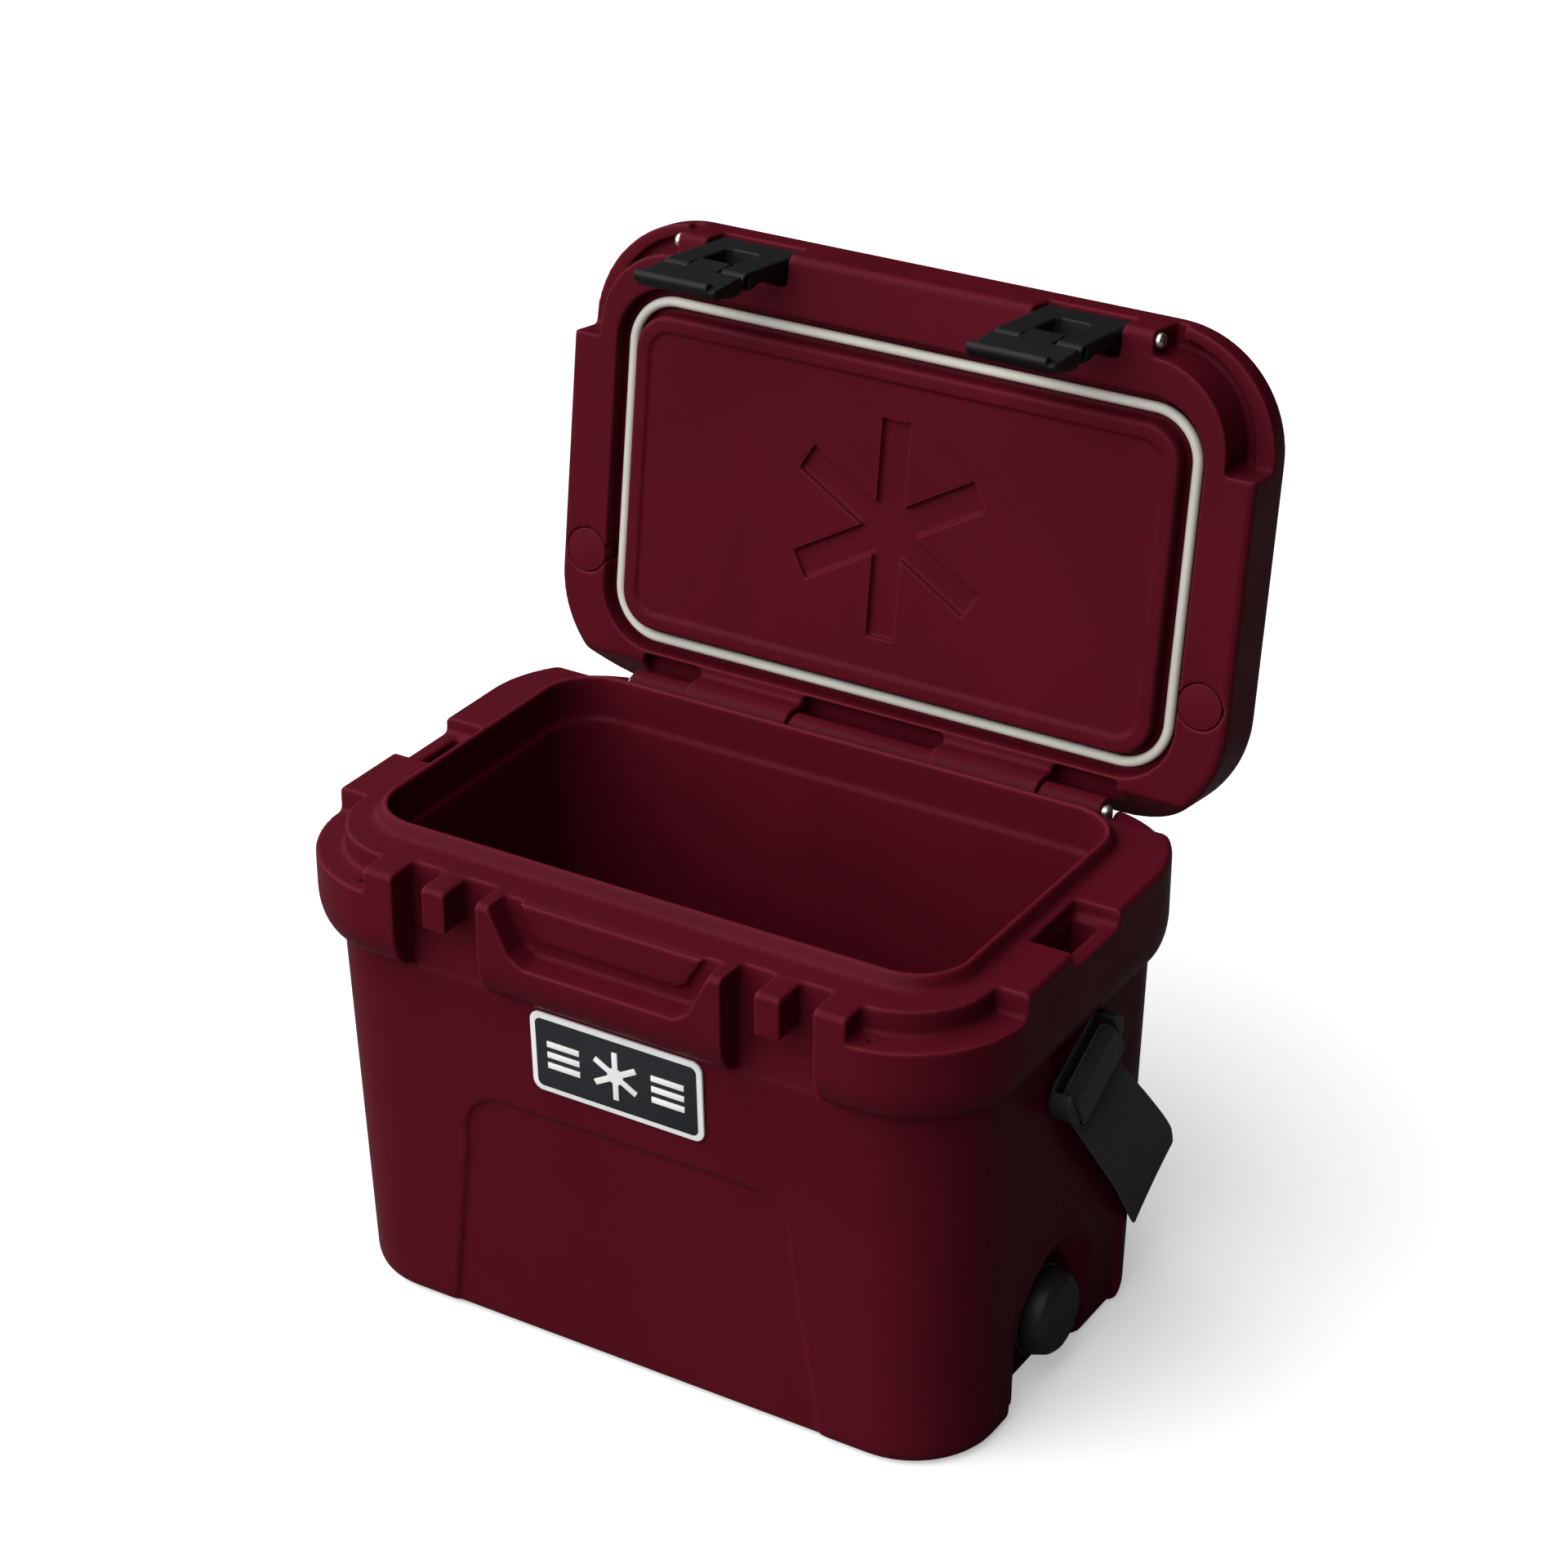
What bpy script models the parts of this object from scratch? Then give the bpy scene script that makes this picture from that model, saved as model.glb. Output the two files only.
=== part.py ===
"""Small hard cooler: a foam-filled tub and a hinged lid, with two draw latches, a drain and a carry strap.

All lengths in the tables below are millimetres in the rim frame: x to the right, y to the back,
z up. Its zero is on top of the tub's rim, 125 behind the rim's front edge and midway between its sides.
The lid's own pieces are laid out in the same frame as they sit with the lid closed, and the lid
empty then turns them about the hinge to the open stop.
"""

import math

import bmesh
import bpy
from mathutils import Matrix, Vector

MM = 0.001

# Place of the rim frame above the floor. The y shift puts the origin under the middle of the open cooler.
RIM_Z = 280.0
Y_SHIFT = -50.1

# Tub
RIM_HALF_X = 210.0
RIM_FRONT = -125.0
RIM_BACK = 151.0
RIM_R = 68.0
BAND_DROP = 35.0
BAND_END = 59.0
TUB_TOP = (198.0, -108.0, 140.0, 50.0)
TUB_BOTTOM = (194.2, -99.4, 135.2, 50.0)
TUB_BOTTOM_Z = -272.0
SOLE_Z = -278.8
FOOT_BOTTOM_Z = -RIM_Z
UNDERSIDE_Z = -277.2
OPENING = (173.2, -81.7, 114.7, 28.0)
LEDGE = (171.4, -79.9, 112.9, 26.6)
FLOOR_WALL = (161.0, -70.0, 102.5, 24.0)
FLOOR_FLAT = (153.0, -62.0, 94.5, 18.0)
FLOOR_Z = -247.0
LIP_HEIGHT = 8.2
SKIN = 5.0
FIT_GAP = 0.3

# Hinge and lid
HINGE_Y = 140.0
HINGE_Z = -6.0
HINGE_PIN_R = 4.5
KNUCKLE_R = 11.0
TUB_KNUCKLE_R = 8.4
OPEN_ANGLE = 97.56
FLANGE_Z = 2.2
LID_TOP_Z = 47.0
LID_SIDE = (210.0, -121.5, 151.0, 66.0)
GASKET = (173.8, -80.0, 115.8, 27.0)
GASKET_R = 2.8
GASKET_Z = 11.4
GROOVE_Z = 14.5
GROOVE_OUT = (180.6, -88.4, 122.4, 34.0)
PANEL = (167.0, -73.2, 109.0, 21.0)
PANEL_Z = 1.0
ARC_X = 145.0
ARC_Y = -61.0
ARC_R = 47.0
PLUG_X = 193.5
PLUG_Y = 71.8
PLUG_R = 12.6

# Latches
LATCH_X = 100.5
LATCH_HALF = 25.5
LATCH_Y = -115.4
LATCH_Z = 8.8
LATCH_PIN_R = 2.6
LATCH_PIN_HEAD_R = 4.2
LATCH_REST = 1.3
LEVER_PIVOT_U = 46.0
LEVER_PIVOT_V = -1.45
LEVER_REST = 6.0
LEVER_PIN_R = 2.6

# Drain
DRAIN_Y = 16.0
DRAIN_Z = -240.0
POCKET_X = 178.0
# The pocket round the drain: its half width, and that of its flare's two ends, as (x, half width).
POCKET_R = 31.5
POCKET_FLARE = ((184.8, 31.5), (198.0, 52.0))

# Strap
PIVOT_X = 198.0
PIVOT_Y = 30.0
PIVOT_Z = -97.0
BAR_Y = 16.0
BAR_Z = -80.3
BAR_TILT = 28.0
BAR_OUT = 9.5
BAR_R = 2.6
EAR_R = 10.5
FRONT_EAR_R = 13.0
FLAP = 18.0
WEB_WIDTH = 48.0
WEB_THICK = 2.2
WEB_TURN_X = 140.0
WEB_TURN_Y = 88.0
WEB_LEAN = 0.45
# Strap centre line, right half, from its bar round the rear corner to the middle of the back.
WEB_ROUTE = (
    (204.6, 26.3, -99.7),
    (207.0, 41.0, -120.5),
    (208.6, 64.0, -149.0),
    (208.8, 85.0, -175.5),
    (205.0, 103.0, -199.5),
    (197.0, 119.0, -213.5),
    (184.5, 136.5, -223.0),
    (168.0, 148.5, -230.0),
    (148.0, 157.0, -235.0),
    (120.0, 161.5, -238.5),
    (80.0, 163.5, -240.5),
    (40.0, 164.0, -241.0),
    (0.0, 164.0, -241.0),
)

WINE = (0.080, 0.004, 0.011)
BLACK = (0.010, 0.010, 0.011)
GREY = (0.42, 0.40, 0.36)
STEEL = (0.55, 0.55, 0.54)
FOAM = (0.75, 0.66, 0.42)
WHITE = (0.80, 0.80, 0.78)


# ---------------------------------------------------------------- materials and helpers


def material(name, colour, roughness, metallic=0.0):
    made = bpy.data.materials.new(name)
    made.use_nodes = True
    shader = made.node_tree.nodes["Principled BSDF"]
    shader.inputs["Base Color"].default_value = (*colour, 1.0)
    shader.inputs["Roughness"].default_value = roughness
    shader.inputs["Metallic"].default_value = metallic
    made.diffuse_color = (*colour, 1.0)
    return made


def empty(name, location, parent=None):
    made = bpy.data.objects.new(name, None)
    made.location = [c * MM for c in location]
    made.parent = parent
    bpy.context.scene.collection.objects.link(made)
    return made


def solid(name, points, faces, finish, parent, origin=(0.0, 0.0, 0.0)):
    """A closed mesh from points in the parent's frame, with the object's origin at origin."""
    mesh = bpy.data.meshes.new(name)
    moved = [[(p[k] - origin[k]) * MM for k in range(3)] for p in points]
    mesh.from_pydata(moved, [], faces)
    work = bmesh.new()
    work.from_mesh(mesh)
    bmesh.ops.recalc_face_normals(work, faces=work.faces)
    work.to_mesh(mesh)
    work.free()
    mesh.shade_smooth()
    mesh.set_sharp_from_angle(angle=math.radians(28))
    made = bpy.data.objects.new(name, mesh)
    made.location = [c * MM for c in origin]
    made.parent = parent
    bpy.context.scene.collection.objects.link(made)
    if finish:
        mesh.materials.append(finish)
    return made


def stack(rings):
    """Points and faces of a body lofted through rings of equal length, with flat ends."""
    count = len(rings[0])
    points = [p for ring in rings for p in ring]
    faces = [tuple(reversed(range(count)))]
    for k in range(len(rings) - 1):
        for i in range(count):
            j = (i + 1) % count
            faces.append((k * count + i, k * count + j, (k + 1) * count + j, (k + 1) * count + i))
    faces.append(tuple((len(rings) - 1) * count + i for i in range(count)))
    return points, faces


def rounded(half_x, front, back, radius, z, steps=8):
    """A rectangle with round corners in plan, at height z."""
    points = []
    corners = (
        (half_x - radius, back - radius, 0),
        (-half_x + radius, back - radius, 90),
        (-half_x + radius, front + radius, 180),
        (half_x - radius, front + radius, 270),
    )
    for cx, cy, start in corners:
        for k in range(steps + 1):
            turn = math.radians(start + 90 * k / steps)
            points.append((cx + radius * math.cos(turn), cy + radius * math.sin(turn), z))
    return points


def inset(plan, by):
    half_x, front, back, radius = plan
    return (half_x - by, front + by, back - by, max(radius - by, 3.0))


def between(plan_a, plan_b, share):
    return tuple(a + (b - a) * share for a, b in zip(plan_a, plan_b))


def arc(cx, cy, radius, start, end, steps):
    """Points on a circle in a plane, from start to end degrees."""
    turns = [math.radians(start + (end - start) * k / steps) for k in range(steps + 1)]
    return [(cx + radius * math.cos(t), cy + radius * math.sin(t)) for t in turns]


def loft(name, rings, finish, parent, origin=(0.0, 0.0, 0.0)):
    points, faces = stack(rings)
    return solid(name, points, faces, finish, parent, origin)


def prism_x(name, profile, x0, x1, finish, parent, origin=(0.0, 0.0, 0.0)):
    """A (y, z) outline drawn out along x."""
    rings = [[(x, y, z) for y, z in profile] for x in (x0, x1)]
    return loft(name, rings, finish, parent, origin)


def prism_y(name, profile, y0, y1, finish, parent, origin=(0.0, 0.0, 0.0)):
    """An (x, z) outline drawn out along y."""
    rings = [[(x, y, z) for x, z in profile] for y in (y0, y1)]
    return loft(name, rings, finish, parent, origin)


def prism_z(name, profile, z0, z1, finish, parent, origin=(0.0, 0.0, 0.0)):
    """An (x, y) outline drawn out along z."""
    rings = [[(x, y, z) for x, y in profile] for z in (z0, z1)]
    return loft(name, rings, finish, parent, origin)


def block(name, low, high, finish, parent, origin=(0.0, 0.0, 0.0)):
    profile = [(low[0], low[1]), (high[0], low[1]), (high[0], high[1]), (low[0], high[1])]
    return prism_z(name, profile, low[2], high[2], finish, parent, origin)


def turned_x(name, outline, y, z, finish, parent, sides=24, origin=(0.0, 0.0, 0.0)):
    """A body turned about an axis along x through (y, z). The outline is (x, radius) from end to end."""
    rings = []
    for x, radius in outline:
        rings.append([(x, y + a, z + b) for a, b in arc(0, 0, radius, 0, 360 - 360 / sides, sides - 1)])
    return loft(name, rings, finish, parent, origin)


def combine(target, tool, operation):
    """A Boolean with the tool, which is a guide and not a piece."""
    tool.hide_render = True
    tool.display_type = "WIRE"
    step = target.modifiers.new(tool.name, "BOOLEAN")
    step.operation = operation
    step.solver = "EXACT"
    step.object = tool


def cut(target, tool):
    combine(target, tool, "DIFFERENCE")


def add(target, tool):
    combine(target, tool, "UNION")


def mirrored(points, side):
    """An outline's first coordinate on the right (side 1) or the left (side -1)."""
    return [(side * p[0], p[1]) for p in points]


def span(side, near, far):
    """The two x limits of a stretch from near to far, on that side."""
    return (side * near, side * far) if side > 0 else (side * far, side * near)


SIDES = (("left", -1), ("right", 1))


# ---------------------------------------------------------------- tub


def tub_front(z):
    """The y of the tub's front face, which leans in towards the floor."""
    share = (-BAND_END - z) / (-BAND_END - TUB_BOTTOM_Z)
    return TUB_TOP[1] + (TUB_BOTTOM[1] - TUB_TOP[1]) * share


def cavity(name, parent, grow, top, finish=None):
    """The room inside, or with grow the same shape that much larger."""
    plans = (
        (OPENING, top),
        (OPENING, -17.0),
        (LEDGE, -19.0),
        (FLOOR_WALL, -235.0),
        (FLOOR_FLAT, FLOOR_Z),
    )
    rings = []
    for plan, z in reversed(plans):
        low = z - grow if z == FLOOR_Z else z
        rings.append(rounded(*inset(plan, -grow), low))
    return loft(name, rings, finish, parent)


def tub_core(name, parent, shrink, finish=None):
    """The foam's outer shape, inside the tub's outer skin."""
    top = (TUB_TOP[0] - SKIN, TUB_TOP[1] + 9.5, TUB_TOP[2] - SKIN, 45.0)
    bottom = (TUB_BOTTOM[0] - SKIN - 1, TUB_BOTTOM[1] + 7.0, TUB_BOTTOM[2] - SKIN, 45.0)
    rings = [
        rounded(*inset(bottom, shrink), UNDERSIDE_Z + SKIN + shrink),
        rounded(*inset(top, shrink), -47.0 - shrink),
    ]
    return loft(name, rings, finish, parent)


def core_reliefs(core, parent, extra, tag):
    """Room that the foam leaves for the drain's pocket and the tie-down slots."""
    pocket = block(
        "relief_pocket_" + tag,
        (POCKET_X - SKIN - extra, DRAIN_Y - 55 - extra, -300),
        (230, DRAIN_Y + 55 + extra, -184 + extra),
        None,
        parent,
    )
    cut(core, pocket)
    bore = turned_x(
        "relief_drain_" + tag, ((150, 14 + extra), (200, 14 + extra)), DRAIN_Y, DRAIN_Z, None, parent
    )
    cut(core, bore)
    for word, side in SIDES:
        x0, x1 = span(side, 181 - extra, 230)
        slot = block(
            f"relief_slot_{word}_{tag}",
            (x0, -12 - extra, -82 - extra),
            (x1, 41 + extra, -30),
            None,
            parent,
        )
        cut(core, slot)


def make_tub(parent, finish):
    rings = [
        rounded(*inset(TUB_BOTTOM, 4.0), SOLE_Z),
        rounded(*inset(TUB_BOTTOM, 1.2), SOLE_Z + 2.6),
        rounded(*TUB_BOTTOM, TUB_BOTTOM_Z),
        rounded(*TUB_TOP, -BAND_END),
    ]
    band = (RIM_HALF_X, RIM_FRONT, RIM_BACK, RIM_R)
    for k in range(1, 6):
        turn = math.radians(90 - 18 * k)
        plan = between(band, TUB_TOP, 1 - math.cos(turn))
        rings.append(rounded(*plan, -BAND_DROP - (BAND_END - BAND_DROP) * math.sin(turn)))
    rings.append(rounded(*band, -2.0))
    rings.append(rounded(*inset(band, 2.0), 0.0))
    shell = loft("tub_shell", rings, finish, parent)

    lip = loft(
        "lip_form",
        [
            rounded(*inset(OPENING, -7.6), -1.0),
            rounded(*inset(OPENING, -2.6), LIP_HEIGHT - 1.2),
            rounded(*inset(OPENING, -1.4), LIP_HEIGHT),
        ],
        None,
        parent,
    )
    add(shell, lip)
    cut(shell, block("channel_shoulder", (-230, 125.5, -8), (230, 170, 30), None, parent))
    cut(shell, block("channel_pocket", (-152.5, 126, -21), (152.5, 170, 30), None, parent))
    knuckle = [(131, -24), (151, -24), (151, HINGE_Z)]
    knuckle += arc(HINGE_Y, HINGE_Z, TUB_KNUCKLE_R, 10, 170, 10)
    knuckle.append((131, HINGE_Z))
    for tag, x0, x1 in (("middle", -44.4, 44.4), ("left", -150, -112.6), ("right", 112.6, 150)):
        add(shell, prism_x("tub_knuckle_" + tag, knuckle, x0, x1, None, parent))
    cut(shell, cavity("cavity_form", parent, 0.0, 30.0))
    for word, side in SIDES:
        make_front_cuts(shell, word, side, parent)
        make_side_cuts(shell, word, side, parent)
        bore = turned_x(
            "tub_hinge_bore_" + word,
            ((side * 28, HINGE_PIN_R + FIT_GAP), (side * 156, HINGE_PIN_R + FIT_GAP)),
            HINGE_Y,
            HINGE_Z,
            None,
            parent,
            20,
        )
        cut(shell, bore)
    make_front_panel(shell, parent)
    make_drain_cuts(shell, parent)
    make_underside(shell, parent)
    core = tub_core("tub_hollow_form", parent, 0.0)
    core_reliefs(core, parent, 0.0, "hollow")
    cut(core, cavity("liner_form", parent, SKIN, 10.0))
    cut(shell, core)
    return shell


def make_front_cuts(shell, word, side, parent):
    """The latch recess with its keeper, and the curved step on the front corner."""
    x0, x1 = span(side, 73.5, 126.5)
    recess = [(-140, 10), (-104, 10), (-104, -44), (-107.2, -61), (-140, -61)]
    cut(shell, prism_x("latch_recess_" + word, recess, x0, x1, None, parent))
    x0, x1 = span(side, 93.2, 107.8)
    keeper = [(-125, -2), (-123, -0.5), (-103, -0.5), (-103, -24.5), (-125, -24.5)]
    add(shell, prism_x("keeper_" + word, keeper, x0, x1, None, parent))
    step = arc(ARC_X, ARC_Y, ARC_R, -90, 0, 10)
    step += [(ARC_X + ARC_R, -58.5), (240, -58.5), (240, -150), (ARC_X, -150)]
    cut(shell, prism_z("corner_step_" + word, mirrored(step, side), -14, 20, None, parent))


def make_side_cuts(shell, word, side, parent):
    """The tie-down notch with its slot, and the shallow arch low on the side."""
    x0, x1 = span(side, 184.5, 230)
    cut(shell, block("notch_" + word, (x0, -10, -9), (x1, 39, 20), None, parent))
    slot = [(185.5, 10), (201, 10), (201, -76), (197.3, -76), (185.5, -53)]
    cut(shell, prism_y("slot_form_" + word, mirrored(slot, side), -6, 35, None, parent))
    arch = [(-33, -290), (-33, -212)] + arc(2, -212, 35, 180, 90, 5)[1:]
    arch += arc(57, -212, 35, 90, 0, 5) + [(92, -290)]
    inner = [(side * (196.9 + (z + 177) * 0.0743), y, z) for y, z in arch]
    outer = [(side * 230, y, z) for y, z in arch]
    cut(shell, loft("side_arch_" + word, [inner, outer], None, parent))


def make_front_panel(shell, parent):
    """The raised plate in its groove at the middle of the rim, and the wide arch below it."""
    groove = [(66, 12), (66, -1), (54, -25), (46, -30.5)]
    groove = groove + [(-x, z) for x, z in reversed(groove)]
    cut(shell, prism_y("plate_groove", groove, -140, -108.6, None, parent))
    plate = [(55, -0.6), (45, -18), (40, -20.5)]
    plate = plate + [(-x, z) for x, z in reversed(plate)]
    add(shell, prism_y("groove_plate", plate, -112.2, -106, None, parent))
    half = [(119, -292), (116.5, -276), (101, -165)] + arc(76, -156, 25, 0, 90, 6)
    outline = half + [(-x, z) for x, z in reversed(half)]
    inner = [(x, tub_front(z) + 2.2, z) for x, z in outline]
    outer = [(x, -140, z) for x, z in outline]
    cut(shell, loft("front_arch", [inner, outer], None, parent))


def drain_arch(half, steps):
    """An arch about the drain's axis, open to the floor, as (y, z)."""
    arch = [(DRAIN_Y - half, -300)] + arc(DRAIN_Y, DRAIN_Z, half, 180, 0, steps)
    return arch + [(DRAIN_Y + half, -300)]


def make_drain_cuts(shell, parent):
    cut(shell, prism_x("drain_pocket", drain_arch(POCKET_R, 14), POCKET_X, 230, None, parent))
    flare = [[(x, y, z) for y, z in drain_arch(half, 14)] for x, half in POCKET_FLARE]
    cut(shell, loft("drain_flare", flare, None, parent))
    bore = turned_x("drain_bore", ((140, 9.3), (190, 9.3)), DRAIN_Y, DRAIN_Z, None, parent)
    cut(shell, bore)


def make_underside(shell, parent):
    """A raised middle that leaves the corners as feet, with a round seat for each rubber foot."""
    cut(shell, block("underside_x", (-260, -32, -300), (260, 91, UNDERSIDE_Z), None, parent))
    cut(shell, block("underside_y", (-118, -160, -300), (118, 190, UNDERSIDE_Z), None, parent))
    for tag, x, y in foot_places():
        seat = prism_z("foot_seat_" + tag, arc(x, y, 15.3, 0, 345, 23), -300, -275.5, None, parent)
        cut(shell, seat)
    for word, side in SIDES:
        hole = prism_z(
            "tub_fill_hole_" + word, arc(side * 60, 18, 13, 0, 345, 23), -300, -262, None, parent
        )
        cut(shell, hole)


def foot_places():
    return [
        (f"{end}_{word}", side * 152, y) for end, y in (("front", -64), ("back", 104)) for word, side in SIDES
    ]


def make_tub_inside(parent, foam_finish, shell_finish, rubber_finish):
    foam = tub_core("tub_foam", parent, FIT_GAP, foam_finish)
    core_reliefs(foam, parent, FIT_GAP, "foam")
    cut(foam, cavity("foam_inner_form", parent, SKIN + FIT_GAP, 10.0))
    for word, side in SIDES:
        plug = arc(side * 60, 18, 12.7, 0, 345, 23)
        z0, z1 = UNDERSIDE_Z - 0.5, UNDERSIDE_Z + SKIN - 0.2
        prism_z("tub_fill_plug_" + word, plug, z0, z1, shell_finish, parent)
    for tag, x, y in foot_places():
        rings = [
            [(px, py, z) for px, py in arc(x, y, r, 0, 345, 23)]
            for r, z in ((13.6, FOOT_BOTTOM_Z), (14.8, FOOT_BOTTOM_Z + 1.2), (14.8, -275.8))
        ]
        loft("rubber_foot_" + tag, rings, rubber_finish, parent)


def make_badge(parent, finish):
    middle = -87.5
    plate = empty("badge_place", (0, tub_front(middle) - FIT_GAP, middle), parent)
    plate.rotation_euler.x = math.atan2(TUB_BOTTOM[1] - TUB_TOP[1], -BAND_END - TUB_BOTTOM_Z)
    outline = []
    for x, z, y, _ in ((1, 1, 0, 0), (-1, 1, 90, 0), (-1, -1, 180, 0), (1, -1, 270, 0)):
        outline += arc(x * 46.7, z * 18.2, 6, y, y + 90, 4)
    rings = [
        [(x, 0.0, z) for x, z in outline],
        [(x, -1.2, z) for x, z in outline],
        [(x * 0.985, -1.8, z * 0.965) for x, z in outline],
    ]
    loft("badge_plate", rings, finish, plate)


# ---------------------------------------------------------------- hinge pins and lid


def make_hinge_pins(parent, finish):
    for word, side in SIDES:
        outline = (
            (side * 30, HINGE_PIN_R - 1),
            (side * 31, HINGE_PIN_R),
            (side * 151, HINGE_PIN_R),
            (side * 153, HINGE_PIN_R - 1.5),
        )
        turned_x("hinge_pin_" + word, outline, HINGE_Y, HINGE_Z, finish, parent, 20)


def lid_core(name, parent, shrink, finish=None):
    """The foam's shape inside the lid."""
    plan = inset((203.0, -98.0, 127.0, 50.0), shrink)
    upper = inset((201.0, -97.0, 127.0, 50.0), shrink)
    rings = [
        rounded(*plan, 19.0 + shrink),
        rounded(*upper, 40.5 - shrink),
    ]
    return loft(name, rings, finish, parent)


def corner_recess(side, grow):
    """The plan of the deep curved recess under the lid's front corner."""
    step = arc(ARC_X, ARC_Y, ARC_R - grow, -90, 0, 10)
    end = -54 + grow
    return mirrored(
        step + [(ARC_X + ARC_R - grow, end), (240, end), (240, -150), (ARC_X - grow, -150)], side
    )


def make_lid(parent, finish):
    rings = [
        rounded(*inset(LID_SIDE, 3.5), FLANGE_Z),
        rounded(*inset(LID_SIDE, 1.0), FLANGE_Z + 1.2),
        rounded(*inset(LID_SIDE, 0.2), FLANGE_Z + 3.6),
        rounded(*LID_SIDE, 37.0),
        rounded(*inset(LID_SIDE, 1.6), 41.5),
        rounded(*inset(LID_SIDE, 5.2), 45.0),
        rounded(*inset(LID_SIDE, 10.5), LID_TOP_Z - 0.4),
        rounded(*inset(LID_SIDE, 24.0), LID_TOP_Z),
        rounded(*inset(LID_SIDE, 27.0), LID_TOP_Z - 2.0),
    ]
    shell = loft("lid_shell", rings, finish, parent)
    bevel = [(129, -5), (129, FLANGE_Z), (153, 27), (175, 27), (175, -5)]
    cut(shell, prism_x("lid_back_bevel", bevel, -230, 230, None, parent))
    groove = [rounded(*GROOVE_OUT, z) for z in (-8.0, GROOVE_Z)]
    cut(shell, loft("lid_groove", groove, None, parent))
    panel = [rounded(*inset(PANEL, 1.0), PANEL_Z), rounded(*PANEL, PANEL_Z + 1.2), rounded(*PANEL, 16.0)]
    add(shell, loft("lid_panel", panel, None, parent))
    pocket = [(124.5, -5), (124.5, 8), (129, 13), (145, 13), (145, -5)]
    for tag, x0, x1 in (("middle", -44.7, 44.7), ("left", -151, -112.3), ("right", 112.3, 151)):
        cut(shell, prism_x("lid_knuckle_pocket_" + tag, pocket, x0, x1, None, parent))
    knuckle = arc(HINGE_Y, HINGE_Z, KNUCKLE_R, 180, 360, 12) + [(151, 20), (129, 14)]
    for word, side in SIDES:
        x0, x1 = span(side, 45, 112)
        add(shell, prism_x("lid_knuckle_" + word, knuckle, x0, x1, None, parent))
        hinge_bore = ((side * 20, HINGE_PIN_R + FIT_GAP), (side * 160, HINGE_PIN_R + FIT_GAP))
        cut(shell, turned_x("lid_hinge_bore_" + word, hinge_bore, HINGE_Y, HINGE_Z, None, parent, 20))
        recess = corner_recess(side, 0)
        cut(shell, prism_z("lid_corner_recess_" + word, recess, -10, 27, None, parent))
        x0, x1 = span(side, ARC_X, 152)
        cut(shell, block("lid_pin_pocket_" + word, (x0, -140, -10), (x1, -105, 33), None, parent))
        x0, x1 = span(side, 74.2, 126.8)
        cut(shell, block("lid_latch_notch_" + word, (x0, -140, -10), (x1, -103.2, 21), None, parent))
        pin_bore = ((side * 68, LATCH_PIN_R + FIT_GAP), (side * 150, LATCH_PIN_R + FIT_GAP))
        cut(shell, turned_x("lid_pin_bore_" + word, pin_bore, LATCH_Y, LATCH_Z, None, parent, 20))
        hole = arc(side * PLUG_X, PLUG_Y, PLUG_R + FIT_GAP, 0, 345, 23)
        cut(shell, prism_z("lid_fill_hole_" + word, hole, -10, 25, None, parent))
    core = lid_core("lid_hollow_form", parent, 0.0)
    for word, side in SIDES:
        step = corner_recess(side, 4.0)
        cut(core, prism_z("hollow_corner_" + word, step, 0, 60, None, parent))
    cut(shell, core)
    return shell


def make_lid_inside(parent, foam_finish, shell_finish, gasket_finish):
    foam = lid_core("lid_foam", parent, FIT_GAP, foam_finish)
    for word, side in SIDES:
        step = corner_recess(side, 4.0 + FIT_GAP)
        cut(foam, prism_z("foam_corner_" + word, step, 0, 60, None, parent))
        plug = arc(side * PLUG_X, PLUG_Y, PLUG_R, 0, 345, 23)
        prism_z("lid_fill_plug_" + word, plug, FLANGE_Z + 0.2, 18.7, shell_finish, parent)
    make_gasket(parent, gasket_finish)


def make_gasket(parent, finish):
    """A round bead swept round the groove."""
    sides = 8
    rings = []
    for k in range(sides):
        turn = 2 * math.pi * (k + 0.5) / sides
        out = GASKET_R * math.cos(turn)
        rings.append(rounded(*inset(GASKET, -out), GASKET_Z + GASKET_R * math.sin(turn), 6))
    count = len(rings[0])
    points = [p for ring in rings for p in ring]
    faces = []
    for k in range(sides):
        for i in range(count):
            j = (i + 1) % count
            m = (k + 1) % sides
            faces.append((k * count + i, k * count + j, m * count + j, m * count + i))
    solid("lid_gasket", points, faces, finish, parent)


# ---------------------------------------------------------------- latches


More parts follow.
